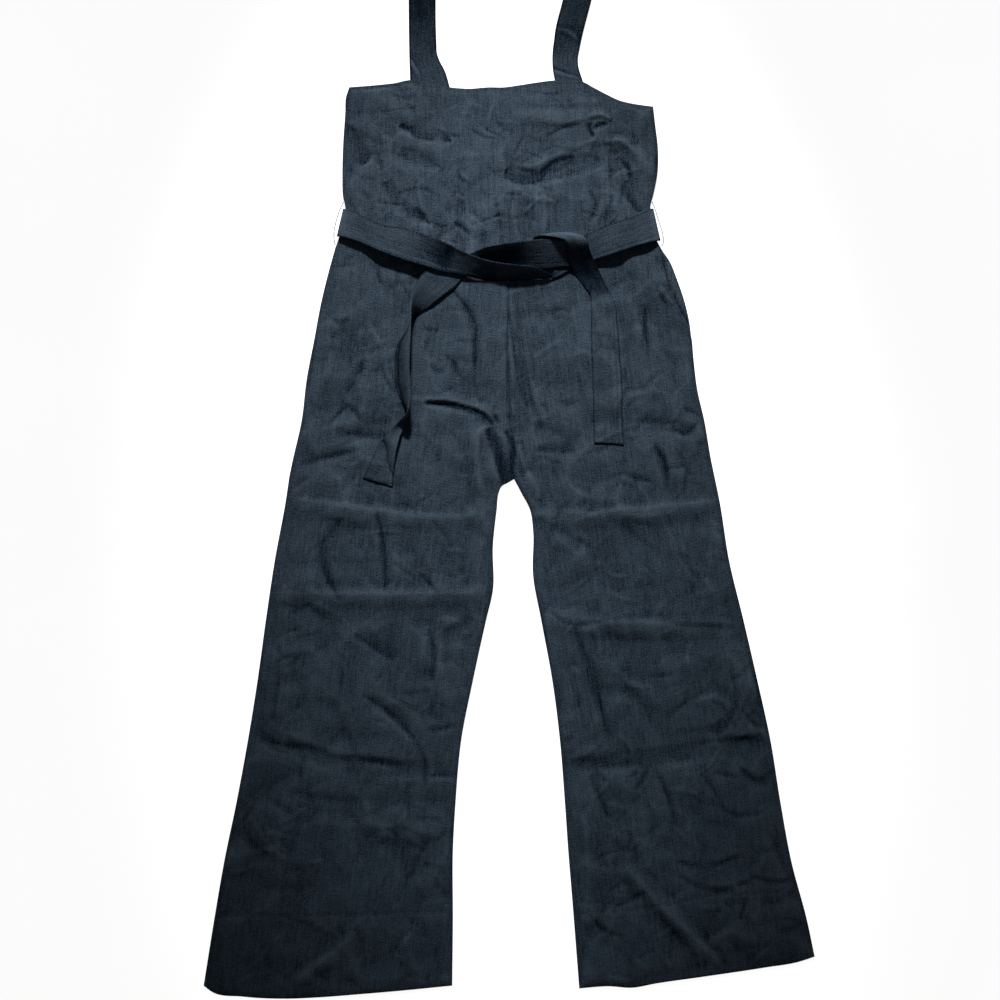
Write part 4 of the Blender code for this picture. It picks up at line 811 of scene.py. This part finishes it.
def wear_and_shade_of(points, painted_darkening):
    """Rubbed wear and painted shade of a grid: from the darkest painted shade in a deep hollow to 1 on a
    ridge.
    """
    z = points[..., 2]
    bend, around = np.zeros(z.shape), z
    for axis in (0, 1):
        step = np.linalg.norm(np.diff(points, axis=axis), axis=2).mean()
        bend += np.gradient(np.gradient(z, step, axis=axis), step, axis=axis)
        around = averaged(around, max(1, round(HOLLOW_REACH / step)), axis)
    sharp = np.clip(bend / SHARPEST_BEND, -1.0, 1.0)
    # Cloth above its surroundings is paler and cloth below them is painted in shade; a ridge's bend is paler
    # as rubbed wear and a hollow's bend is painted in shade; the painted darkening given is added.
    return np.clip((z - around) / DEEPEST_HOLLOW - sharp + painted_darkening, DARKEST, 1.0)


def add_node(tree, kind, inputs, **settings):
    """Add a shader node, set its settings, and set or link its inputs."""
    node = tree.nodes.new(kind)
    for name, value in settings.items():
        setattr(node, name, value)
    for name, value in inputs.items():
        if isinstance(value, bpy.types.NodeSocket):
            tree.links.new(value, node.inputs[name])
        else:
            node.inputs[name].default_value = value
    return node


def new_material(name):
    material = bpy.data.materials.new(name)
    material.use_nodes = True
    tree = material.node_tree
    return material, tree, tree.nodes["Principled BSDF"]


def opaque(colour):
    return (*colour, 1.0)


def weave(tree, slub_contrast):
    """The weave along the cloth's own threads: its shade, from about -1 to 1, and its height."""
    cloth = add_node(tree, "ShaderNodeUVMap", {}, uv_map=THREAD_MAP).outputs["UV"]
    darkest, palest = STREAK_BOUNDS
    shade = height = 0.0
    for width, length, detail, in_shade, in_height, is_slub in STREAKS:
        scale = (1 / width, 1 / length, 1.0)
        places = add_node(tree, "ShaderNodeMapping", {"Vector": cloth, "Scale": scale}).outputs["Vector"]
        noise = add_node(
            tree, "ShaderNodeTexNoise", {"Vector": places, "Scale": 1.0, "Detail": detail},
            noise_dimensions="2D",
        ).outputs["Fac"]
        streaks = add_node(
            tree, "ShaderNodeMapRange",
            {"Value": noise, "From Min": darkest, "From Max": palest, "To Min": -1.0, "To Max": 1.0},
        ).outputs["Result"]
        weight = in_shade * (slub_contrast if is_slub else 1.0)
        shade = add_node(
            tree, "ShaderNodeMath", {0: streaks, 1: weight, 2: shade}, operation="MULTIPLY_ADD"
        ).outputs["Value"]
        if in_height:
            height = add_node(
                tree, "ShaderNodeMath", {0: streaks, 1: in_height, 2: height}, operation="MULTIPLY_ADD"
            ).outputs["Value"]
    return shade, height


def linen_material(name, dark, light, slub_contrast=1.0, specks=None):
    """Plain-woven linen: uneven flax threads show as fine streaks along and across, dull and slightly fuzzy.

    Ridges of creases are rubbed paler, and hollows and the listed places are painted darker as shade.
    """
    material, tree, shader = new_material(name)
    shade, height = weave(tree, slub_contrast)
    wear_and_shade = add_node(tree, "ShaderNodeAttribute", {}, attribute_name=WEAR_AND_SHADE_LAYER).outputs["Fac"]
    worn_and_shaded = add_node(
        tree, "ShaderNodeMath", {0: wear_and_shade, 1: WEAR_AND_SHADE_WEIGHT, 2: shade}, operation="MULTIPLY_ADD"
    ).outputs["Value"]
    part = add_node(
        tree, "ShaderNodeMapRange", {"Value": worn_and_shaded, "From Min": -1.0, "From Max": 1.0}
    ).outputs["Result"]
    colour = add_node(
        tree, "ShaderNodeMix", {0: part, 6: opaque(dark), 7: opaque(light)}, data_type="RGBA"
    ).outputs[2]
    if specks:
        cloth = add_node(tree, "ShaderNodeUVMap", {}, uv_map=THREAD_MAP).outputs["UV"]
        noise = add_node(
            tree, "ShaderNodeTexNoise", {"Vector": cloth, "Scale": 1 / SPECK_SIZE, "Detail": 2.0},
            noise_dimensions="2D",
        ).outputs["Fac"]
        least, full = SPECK_BOUNDS
        spots = add_node(
            tree, "ShaderNodeMapRange", {"Value": noise, "From Min": least, "From Max": full}
        ).outputs["Result"]
        share = add_node(tree, "ShaderNodeMath", {0: spots, 1: part}, operation="MULTIPLY").outputs["Value"]
        colour = add_node(
            tree, "ShaderNodeMix", {0: share, 6: colour, 7: opaque(specks)}, data_type="RGBA"
        ).outputs[2]
    relief = {"Height": height, "Strength": THREAD_BUMP, "Distance": THREAD_RISE}
    bump = add_node(tree, "ShaderNodeBump", relief).outputs["Normal"]
    tree.links.new(colour, shader.inputs["Base Color"])
    tree.links.new(bump, shader.inputs["Normal"])
    # Gloss and sheen fade with the painted shade and wear, to none where it is darkest.
    for socket, most in (("Specular IOR Level", PALEST_GLOSS), ("Sheen Weight", PALEST_SHEEN)):
        gloss_by_wear_and_shade = add_node(tree, "ShaderNodeMath", {0: part, 1: most}, operation="MULTIPLY").outputs["Value"]
        tree.links.new(gloss_by_wear_and_shade, shader.inputs[socket])
    shader.inputs["Roughness"].default_value = 0.85
    shader.inputs["IOR"].default_value = FLAX_IOR
    shader.inputs["Sheen Roughness"].default_value = 0.6
    shader.inputs["Sheen Tint"].default_value = opaque(light)
    return material


def thread_material(name):
    """Spun polyester sewing thread: smoother than the linen, with a slight gloss."""
    material, tree, shader = new_material(name)
    places = add_node(tree, "ShaderNodeTexCoord", {}).outputs["Object"]
    twist = add_node(
        tree, "ShaderNodeTexNoise", {"Vector": places, "Scale": THREAD_TWIST, "Detail": 1.0}
    ).outputs["Fac"]
    light = opaque(bpy.context.scene.jumpsuit_sewing.thread)
    colour = add_node(
        tree, "ShaderNodeMix", {0: twist, 6: opaque(THREAD_DARK), 7: light}, data_type="RGBA"
    ).outputs[2]
    tree.links.new(colour, shader.inputs["Base Color"])
    shader.inputs["Roughness"].default_value = 0.5
    return material


def floor_material(colour):
    """Matt white studio board: even and dull, and lit a little from below so that it stays pale."""
    material, tree, shader = new_material("matt white studio board")
    places = add_node(tree, "ShaderNodeTexCoord", {}).outputs["Object"]
    mottle = add_node(
        tree, "ShaderNodeTexNoise", {"Vector": places, "Scale": 3.0, "Detail": 4.0}
    ).outputs["Fac"]
    dark = opaque(tuple(FLOOR_MOTTLE * part for part in colour))
    shade = add_node(
        tree, "ShaderNodeMix", {0: mottle, 6: dark, 7: opaque(colour)}, data_type="RGBA"
    ).outputs[2]
    tree.links.new(shade, shader.inputs["Base Color"])
    tree.links.new(shade, shader.inputs["Emission Color"])
    shader.inputs["Emission Strength"].default_value = FLOOR_GLOW
    shader.inputs["Roughness"].default_value = 0.9
    shader.inputs["Specular IOR Level"].default_value = 0.1
    return material


def material_for(slot):
    """The material of a slot, made when it is first needed."""
    name, paler, settings = MATERIALS[slot]
    made = bpy.data.materials.get(name)
    if made:
        return made
    if slot == "thread":
        return thread_material(name)
    cloth = bpy.context.scene.jumpsuit_cloth
    dark, light = (tuple(paler * part for part in shade) for shade in (cloth.dark_thread, cloth.light_thread))
    return linen_material(name, dark, light, **settings)


def mesh_of(name, shape):
    """A new mesh from a bmesh that is done with."""
    mesh = bpy.data.meshes.new(name)
    shape.to_mesh(mesh)
    shape.free()
    return mesh


def cloth_grid(name, points, threads, painted_darkening):
    """A mesh of a grid of points, with its place along the cloth's threads and its wear and painted shade."""
    rows, columns = points.shape[:2]
    grid = bmesh.new()
    bmesh.ops.create_grid(grid, x_segments=columns - 1, y_segments=rows - 1, size=0.5)
    mesh = mesh_of(name, grid)
    flat = np.empty(len(mesh.vertices) * 3)
    mesh.vertices.foreach_get("co", flat)
    flat = flat.reshape(-1, 3)
    column = np.rint((flat[:, 0] + 0.5) * (columns - 1)).astype(int)
    row = np.rint((0.5 - flat[:, 1]) * (rows - 1)).astype(int)
    mesh.vertices.foreach_set("co", points[row, column].astype(np.float32).ravel())
    corner = np.empty(len(mesh.loops), dtype=np.int32)
    mesh.loops.foreach_get("vertex_index", corner)
    thread_map = mesh.uv_layers.new(name=THREAD_MAP)
    thread_map.data.foreach_set("uv", threads[row, column][corner].astype(np.float32).ravel())
    wear_and_shade = mesh.attributes.new(WEAR_AND_SHADE_LAYER, "FLOAT", "POINT")
    wear_and_shade.data.foreach_set("value", wear_and_shade_of(points, painted_darkening)[row, column].astype(np.float32))
    mesh.update()
    mesh.shade_smooth()
    return mesh


def add_object(name, data, place=(0.0, 0.0, 0.0)):
    """Put new data in the scene at a place."""
    made = bpy.data.objects.new(name, data)
    made.location = place
    bpy.context.scene.collection.objects.link(made)
    return made


def add_piece(name, data, slot, replaced=None):
    """Put a piece in the scene in place of its solid, and let it ride with the garment."""
    piece = add_object(name, data)
    data.materials.append(material_for(slot))
    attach(piece, BODY)
    if replaced:
        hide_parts(replaced)
    return piece


def add_shell(name, node, points, threads, slot, wall, offset, painted_darkening):
    """A piece of cloth as a thin shell on a grid of points. An offset of -1 puts its wall under them."""
    piece = add_piece(name, cloth_grid(name, points, threads, painted_darkening), slot, node)
    thickness = piece.modifiers.new("wall", "SOLIDIFY")
    thickness.thickness = wall
    thickness.offset = offset
    return piece


def thread_places(x, y, angle):
    """Places along the threads of a flat panel whose warp leans by an angle from the body's length."""
    across = x * math.cos(angle) + y * math.sin(angle)
    along = y * math.cos(angle) - x * math.sin(angle)
    return np.stack((across, along), axis=-1)


def band_threads(points):
    """Places along a band's own threads: across it and along it."""
    across, along = lengths_along(points[0]), lengths_along(points[:, points.shape[1] // 2])
    return np.stack(np.broadcast_arrays(across[None, :], along[:, None]), axis=-1)


def lay_panel(name, node, points, height, angle=0.0, slot="linen", wall=None, shade=None):
    """A flat-lying panel: its outer face at the height that the function gives, and its wall below."""
    x, y = points[..., 0], points[..., 1]
    points = np.dstack((x, y, height(x, y)))
    wall = wall or bpy.context.scene.jumpsuit_cloth.wall
    # Painted shade from the shade function, added to the wear.
    painted_darkening = shade(x, y) if shade else 0.0
    piece = add_shell(name, node, points, thread_places(x, y, angle), slot, wall, -1.0, painted_darkening)


def lowered(line, drop):
    return np.asarray(line, dtype=float) - np.array([0.0, drop])


def waist_halves(line, centre_x, across):
    """The waist seam's two halves, parted at the centre seam."""
    places = np.linspace(0.0, len(line) - 1.0, CURVE_STEPS)
    middle = float(np.interp(centre_x, curve_at(line, places)[:, 0], places))
    return edge(line, even(across), (0.0, middle)), edge(line, even(across), (middle, len(line) - 1.0))


def bodice_points(neckline, waist, centre_x, grid):
    """Points of a bodice panel from its neckline down to the waist seam."""
    across, down = grid
    right_side = np.vstack((neckline[:1], RIGHT_BODICE_SIDE[1:]))
    left_side = np.vstack((neckline[-1:], LEFT_BODICE_SIDE[1:]))
    right_half, left_half = waist_halves(waist, centre_x, across // 2)
    top = edge(neckline, even(2 * (across // 2)))
    seam = np.vstack((right_half, left_half[1:]))
    return panel(edge(right_side, even(down)), edge(left_side, even(down)), top, seam)


def leg_points(side, waist, centre, hip, below, inner, hem, grid):
    """Points of one leg panel from waist seam to hem."""
    across, hip_down, below_down = grid
    outer_edge = joined(hip, even(hip_down), below, even(below_down))
    centre_edge = joined(centre, even(hip_down), inner, even(below_down))
    bottom = edge(hem, even(across))
    if side < 0:
        return panel(outer_edge, centre_edge, waist, bottom)
    return panel(centre_edge, outer_edge, waist, bottom[::-1])


def between_edges(sections, across):
    """Points across each section, from its first edge to its other edge."""
    return sections[:, None, 0:3] * (1 - across) + sections[:, None, 3:6] * across


def belt_points(rows):
    """Sections of one half of the belt: two edges and a middle, kept above the cloth that they pass over."""
    numbered = np.column_stack((rows, np.arange(len(rows))))
    sections = edge(numbered, even(BELT_STEPS), measured=slice(0, PLACE_COLUMNS))
    middle_push_y, middle_lift, row = sections[:, PLACE_COLUMNS:].T
    bulge = np.stack((np.zeros(len(row)), middle_push_y, middle_lift), axis=1)[:, None]
    across = even(BELT_ACROSS)[None, :, None]
    points = between_edges(sections, across) + 4 * across * (1 - across) * bulge
    lowest = front_height(points[..., 0], points[..., 1]) + LYING_GAP + BELT_CLOTH / 2
    past_side = smooth_step(row - (BELT_WRAP_ROWS - 1))[:, None]
    above = points[..., 2] - lowest
    settled = lowest + (above + np.hypot(above, SETTLING)) / 2
    points[..., 2] += (settled - points[..., 2]) * past_side
    return points


def band_normals(points):
    """Unit vectors off a band's face, which point up where it lies flat."""
    return unit(np.cross(np.gradient(points, axis=0), np.gradient(points, axis=1)))


def crease_band(points, grooves, seed, creases=()):
    """Add a band's lengthwise grooves, main creases and small creases, off its own face.

    A groove runs at a share of the band's width. A crease has a cloth crease's columns, with x across the
    band and y along it.
    """
    threads = band_threads(points)
    x, y = threads[..., 0], threads[..., 1]
    width = threads[0, -1, 0]
    relief = np.zeros(x.shape)
    for share, half_width, height in grooves:
        relief += height * MM * np.exp(-(((x - share * width) / (half_width * MM)) ** 2))
    for crease in creases:
        relief += crease_height(crease, x, y)
    relief += BAND_WAVES * gentle_noise(x, y, BAND_WAVE_SIZE, seed)
    relief -= BAND_BOWLS * bowls(x, y, BAND_BOWL_SIZE, seed + 1)
    fade = np.minimum(1.0, np.arange(len(points)) / BAND_FADE_STEPS)[:, None]
    return points + band_normals(points) * (relief * fade)[..., None]


def strap_points(rows):
    """Sections of one strap, flat from edge to edge."""
    outer_x, outer_y, inner_x, inner_y, z = np.asarray(rows).T
    edges = np.column_stack((outer_x, outer_y, z, inner_x, inner_y, z))
    return between_edges(edge(edges, even(STRAP_STEPS)), even(STRAP_ACROSS)[None, :, None])


def add_band(name, node, points, slot, wall, painted_shades):
    """A belt or strap, painted in shade along its edges. Its painted shades give how much paler or darker it
    is painted along its length: share, shade.
    """
    # Painted shade along the band's edges and along its length.
    painted_darkening = band_edge_shade(points) + np.interp(even(len(points) - 1), *zip(*painted_shades))[:, None]
    piece = add_shell(name, node, points, band_threads(points), slot, wall, 0.0, painted_darkening)


def thread_chain(name, node, rows):
    """A belt loop of thread: two strands that twist round each other along the loop."""
    route = edge(rows, even(CHAIN_STEPS))
    run = unit(np.gradient(route, axis=0))
    side = unit(np.cross(run, (0.0, 0.0, 1.0)))
    up = np.cross(side, run)
    turn = np.linspace(0.0, 2 * math.pi * CHAIN_TURNS, len(route))[:, None]
    curve = bpy.data.curves.new(name, "CURVE")
    curve.dimensions = "3D"
    curve.bevel_depth = CHAIN_STRAND
    curve.bevel_resolution = 2
    curve.use_fill_caps = True
    for start in (0.0, math.pi):
        strand = route + CHAIN_STRAND * (side * np.cos(turn + start) + up * np.sin(turn + start))
        line = curve.splines.new("POLY")
        line.points.add(len(strand) - 1)
        for point, place in zip(line.points, strand):
            point.co = (*place, 1.0)
    add_piece(name, curve, "thread", node)


def stitches_along(line, normals, pitch):
    """Places, directions and outward vectors of the stitches along a line in space."""
    lengths = lengths_along(line)
    places = np.arange(pitch / 2, lengths[-1], pitch)

    def at(where, values):
        return np.stack([np.interp(where, lengths, column) for column in values.T], axis=1)

    position = at(places, line)
    return list(zip(position, at(places + pitch / 4, line) - position, at(places, normals)))


def stitch_mesh(name, stitches, length, radius):
    """One mesh of many small stitches, each a plump bead of thread drawn long."""
    sewing = bmesh.new()
    for place, ahead, outward in stitches:
        along = Vector(ahead).normalized()
        up = Vector(outward)
        up = (up - up.dot(along) * along).normalized()
        side = up.cross(along)
        made = bmesh.ops.create_uvsphere(sewing, u_segments=STITCH_SIDES, v_segments=STITCH_RINGS, radius=1.0)
        for vertex in made["verts"]:
            rise, across, onward = vertex.co
            off_cloth = up * radius * (STITCH_RISE + rise) + side * radius * across
            vertex.co = Vector(place) + off_cloth + along * length / 2 * onward
    mesh = mesh_of(name, sewing)
    mesh.shade_smooth()
    return mesh


def over_front(line):
    """A line on the front's outer face, and the vectors off it."""
    x, y = edge(line, even(HEM_LINE_STEPS)).T
    slope_x = (front_height(x + SLOPE_STEP, y) - front_height(x - SLOPE_STEP, y)) / (2 * SLOPE_STEP)
    slope_y = (front_height(x, y + SLOPE_STEP) - front_height(x, y - SLOPE_STEP)) / (2 * SLOPE_STEP)
    return np.column_stack((x, y, front_height(x, y))), np.column_stack((-slope_x, -slope_y, np.ones(len(x))))


def over_belt_half(rows, seed):
    """The lines of stitches on one half of the belt: along its lower edge and across its end."""
    points = crease_band(belt_points(rows), BELT_GROOVES, seed)
    normals = band_normals(points)
    column = round(BELT_STITCH_SHARE * BELT_ACROSS)
    row = len(points) - 1 - BELT_END_STEPS
    lines = ((slice(None), column), (row, slice(1, column)))
    return [(points[line] + normals[line] * BELT_CLOTH / 2, normals[line]) for line in lines]


def add_sewing(name, lines):
    """One piece of sewing: a stitch every pitch along each of its lines."""
    sewing = bpy.context.scene.jumpsuit_sewing
    stitches = [stitch for line, normals in lines for stitch in stitches_along(line, normals, sewing.pitch)]
    add_piece(name, stitch_mesh(name, stitches, sewing.pitch * STITCH_SHARE, sewing.thread_radius), "thread")


class JumpsuitCloth(bpy.types.PropertyGroup):
    """The linen."""

    wall: FloatProperty(
        name="Wall", description="Thickness of one layer of linen", default=0.001, unit="LENGTH"
    )
    crease_depth: FloatProperty(
        name="Crease depth", description="How deep the creases are, as a share of their usual depth",
        default=1.0, min=0.0, max=1.5, subtype="FACTOR",
    )
    # The dark thread's colour is also the colour of the darkest painted shade.
    dark_thread: FloatVectorProperty(
        name="Dark thread", description="Colour of the darkest threads", default=linear("0E1926"),
        size=3, min=0.0, max=1.0, subtype="COLOR",
    )
    light_thread: FloatVectorProperty(
        name="Light thread", description="Colour of the palest threads", default=linear("445666"),
        size=3, min=0.0, max=1.0, subtype="COLOR",
    )


class JumpsuitSewing(bpy.types.PropertyGroup):
    """The thread and its stitches."""

    pitch: FloatProperty(
        name="Pitch", description="From one stitch to the next", default=0.0030, unit="LENGTH"
    )
    thread_radius: FloatProperty(
        name="Thread radius", description="Half the thickness of the thread", default=0.00028, unit="LENGTH"
    )
    thread: FloatVectorProperty(
        name="Thread", description="Colour of the thread", default=linear("4C5A68"),
        size=3, min=0.0, max=1.0, subtype="COLOR",
    )


class JumpsuitStage(bpy.types.PropertyGroup):
    """The floor, the lamps and the camera."""

    camera_height: FloatProperty(
        name="Camera height", description="Height of the camera over the floor", default=2.014, unit="LENGTH"
    )
    key_power: FloatProperty(
        name="Key light", description="Power of the lamp above the shoulders", default=300.0, unit="POWER"
    )
    fill_strength: FloatProperty(name="Fill light", description="Strength of the even light", default=0.06)
    floor: FloatVectorProperty(
        name="Floor", description="Colour of the floor", default=linear("F2F2F2"),
        size=3, min=0.0, max=1.0, subtype="COLOR",
    )


class JUMPSUIT_OT_bodice(bpy.types.Operator):
    """Make the bodice's front and back panels"""

    bl_idname = "jumpsuit.bodice"
    bl_label = "Bodice"

    def execute(self, context):
        front = bodice_points(np.asarray(NECKLINE), FRONT_WAIST, CENTRE_FRONT[0][0], BODICE_FRONT_GRID)
        lower_neckline = lowered(NECKLINE, NECKLINE_STEP_BACK)
        back = bodice_points(lower_neckline, BACK_WAIST, CENTRE_BACK[0][0], BODICE_BACK_GRID)
        lay_panel(
            "front_bodice_cloth", "bodice_front", front, front_height,
            shade=painted_trough_shade,
        )
        lay_panel("back_bodice_cloth", "bodice_back", back, back_height)
        return {"FINISHED"}


class JUMPSUIT_OT_legs(bpy.types.Operator):
    """Make the four leg panels"""

    bl_idname = "jumpsuit.legs"
    bl_label = "Legs"

    def execute(self, context):
        right_edges = (RIGHT_SIDE_BELOW, RIGHT_INNER_LEG, RIGHT_HEM)
        left_edges = (LEFT_SIDE_BELOW, LEFT_INNER_LEG, LEFT_HEM)
        for place, waist_line, centre, left_hip, grid, height, shade in (
            ("front", FRONT_WAIST, CENTRE_FRONT, LEFT_HIP_FRONT, LEG_FRONT_GRID, front_height, painted_trough_shade),
            ("back", BACK_WAIST, CENTRE_BACK, LEFT_HIP, LEG_BACK_GRID, back_height, None),
        ):
            waists = waist_halves(waist_line, centre[0][0], grid[0])
            for side, word, waist, hip, edges, angle in (
                (-1, "right", waists[0], RIGHT_HIP, right_edges, RIGHT_LEG_LEAN),
                (1, "left", waists[1], left_hip, left_edges, LEFT_LEG_LEAN),
            ):
                points = leg_points(side, waist, centre, hip, *edges, grid)
                name, node = f"{place}_leg_cloth_{word}", f"leg_{place}_{word}"
                lay_panel(name, node, points, height, angle, shade=shade)
        return {"FINISHED"}


class JUMPSUIT_OT_pocket(bpy.types.Operator):
    """Make the side pocket's bag"""

    bl_idname = "jumpsuit.pocket"
    bl_label = "Side pocket"

    def execute(self, context):
        across, down = (even(steps) for steps in POCKET_GRID)
        bag = panel(
            edge(POCKET_INNER_EDGE, down), edge(POCKET_OUTER, down),
            edge(POCKET_TOP, across), edge(POCKET_BOTTOM, across),
        )
        lay_panel(
            "side_pocket_cloth", "side_pocket", bag, pocket_top, slot="pocket_linen", wall=POCKET_CLOTH,
            shade=painted_mouth_shadow,
        )
        return {"FINISHED"}


class JUMPSUIT_OT_belt(bpy.types.Operator):
    """Make the tie belt behind the garment and its two knotted halves"""

    bl_idname = "jumpsuit.belt"
    bl_label = "Tie belt"

    def execute(self, context):
        right_top, right_bottom, left_top, left_bottom = np.asarray(BELT_BACK_ENDS)
        along, down = (even(steps) for steps in BELT_BACK_GRID)
        along, down = along[None, :, None], down[:, None, None]
        top = right_top * (1 - along) + left_top * along
        bottom = right_bottom * (1 - along) + left_bottom * along
        lay_panel(
            "belt_behind", "belt_back", top * (1 - down) + bottom * down, belt_top, angle=math.pi / 2,
            slot="belt_linen", wall=BELT_CLOTH,
        )
        for name, node, rows, seed in (
            ("belt_half_from_right", "belt_from_right", BELT_FROM_RIGHT, BELT_SEEDS[0]),
            ("belt_half_from_left", "belt_from_left", BELT_FROM_LEFT, BELT_SEEDS[1]),
        ):
            points = crease_band(belt_points(rows), BELT_GROOVES, seed)
            add_band(name, node, points, "belt_linen", BELT_CLOTH, BELT_PAINTED_SHADES[node])
        return {"FINISHED"}


class JUMPSUIT_OT_straps(bpy.types.Operator):
    """Make the two shoulder straps"""

    bl_idname = "jumpsuit.straps"
    bl_label = "Shoulder straps"

    def execute(self, context):
        for word, rows, seed, creases, painted_shades in (
            ("right", RIGHT_STRAP, STRAP_SEEDS[0], RIGHT_STRAP_CREASES, RIGHT_STRAP_PAINTED_SHADES),
            ("left", LEFT_STRAP, STRAP_SEEDS[1], LEFT_STRAP_CREASES, LEFT_STRAP_PAINTED_SHADES),
        ):
            points = crease_band(strap_points(rows), (), seed, creases)
            points[..., 2] = np.maximum(points[..., 2], CLOTH / 2)
            add_band(f"shoulder_strap_{word}", f"strap_{word}", points, "linen", CLOTH, painted_shades)
        return {"FINISHED"}


class JUMPSUIT_OT_loops(bpy.types.Operator):
    """Make the two thread loops that carry the belt"""

    bl_idname = "jumpsuit.loops"
    bl_label = "Belt loops"

    def execute(self, context):
        thread_chain("thread_loop_right", "belt_loop_right", RIGHT_LOOP)
        thread_chain("thread_loop_left", "belt_loop_left", LEFT_LOOP)
        return {"FINISHED"}


class JUMPSUIT_OT_sewing(bpy.types.Operator):
    """Sew the hems, and the belt's lower edge and ends"""

    bl_idname = "jumpsuit.sewing"
    bl_label = "Sewing"

    def execute(self, context):
        add_sewing("hem_stitches", [over_front(line) for line in HEM_STITCHES])
        halves = zip((BELT_FROM_RIGHT, BELT_FROM_LEFT), BELT_SEEDS)
        add_sewing("belt_stitches", [line for rows, seed in halves for line in over_belt_half(rows, seed)])
        return {"FINISHED"}


class JUMPSUIT_OT_stage(bpy.types.Operator):
    """Make the floor, the lamps and the camera"""

    bl_idname = "jumpsuit.stage"
    bl_label = "Floor, lamps and camera"

    def execute(self, context):
        stage = context.scene.jumpsuit_stage
        sheet = bmesh.new()
        bmesh.ops.create_grid(sheet, x_segments=1, y_segments=1, size=FLOOR_HALF)
        mesh = mesh_of("studio_floor", sheet)
        mesh.materials.append(floor_material(tuple(stage.floor)))
        floor = add_object("studio_floor", mesh, (0.0, 0.0, -FLOOR_DROP))
        lamp_data = bpy.data.lights.new("key_lamp", "SPOT")
        lamp_data.shadow_soft_size = KEY_RADIUS
        lamp_data.spot_size = KEY_CONE
        lamp_data.spot_blend = 1.0
        lamp_data.energy = stage.key_power
        lamp_data.color = KEY_COLOUR
        lamp = add_object("key_lamp", lamp_data, KEY_PLACE)
        lamp.rotation_euler = (Vector(KEY_TARGET) - Vector(KEY_PLACE)).to_track_quat("-Z", "Y").to_euler()
        lamp.visible_camera = False
        world = bpy.data.worlds.new("studio")
        world.use_nodes = True
        world.node_tree.nodes["Background"].inputs["Color"].default_value = opaque(FILL_COLOUR)
        world.node_tree.nodes["Background"].inputs["Strength"].default_value = stage.fill_strength
        context.scene.world = world
        camera_data = bpy.data.cameras.new("overhead_camera")
        camera_data.lens = 50.0
        camera_data.sensor_width = 36.0
        context.scene.camera = add_object("overhead_camera", camera_data, (*CAMERA_OVER, stage.camera_height))
        context.scene.view_settings.view_transform = "Standard"
        return {"FINISHED"}


class JUMPSUIT_PT_panel(bpy.types.Panel):
    """The jumpsuit's pieces and settings"""

    bl_idname = "JUMPSUIT_PT_panel"
    bl_label = "Linen jumpsuit"
    bl_space_type = "VIEW_3D"
    bl_region_type = "UI"
    bl_category = "Jumpsuit"

    def draw(self, context):
        for setting, kind in SETTINGS.items():
            for name in kind.__annotations__:
                self.layout.prop(getattr(context.scene, setting), name)
        for maker in MAKERS:
            self.layout.operator(maker.bl_idname)


MAKERS = (
    JUMPSUIT_OT_stage, JUMPSUIT_OT_bodice, JUMPSUIT_OT_legs, JUMPSUIT_OT_pocket, JUMPSUIT_OT_belt,
    JUMPSUIT_OT_straps, JUMPSUIT_OT_loops, JUMPSUIT_OT_sewing,
)
SETTINGS = {
    "jumpsuit_cloth": JumpsuitCloth, "jumpsuit_sewing": JumpsuitSewing, "jumpsuit_stage": JumpsuitStage,
}


def register():
    for kind in (*SETTINGS.values(), *MAKERS, JUMPSUIT_PT_panel):
        bpy.utils.register_class(kind)
    for name, kind in SETTINGS.items():
        setattr(bpy.types.Scene, name, PointerProperty(type=kind))


def unregister():
    for name in SETTINGS:
        delattr(bpy.types.Scene, name)
    for kind in (*SETTINGS.values(), *MAKERS, JUMPSUIT_PT_panel):
        bpy.utils.unregister_class(kind)


def main():
    register()
    for maker in MAKERS:
        family, name = maker.bl_idname.split(".")
        getattr(getattr(bpy.ops, family), name)()


if __name__ == "__main__":
    main()
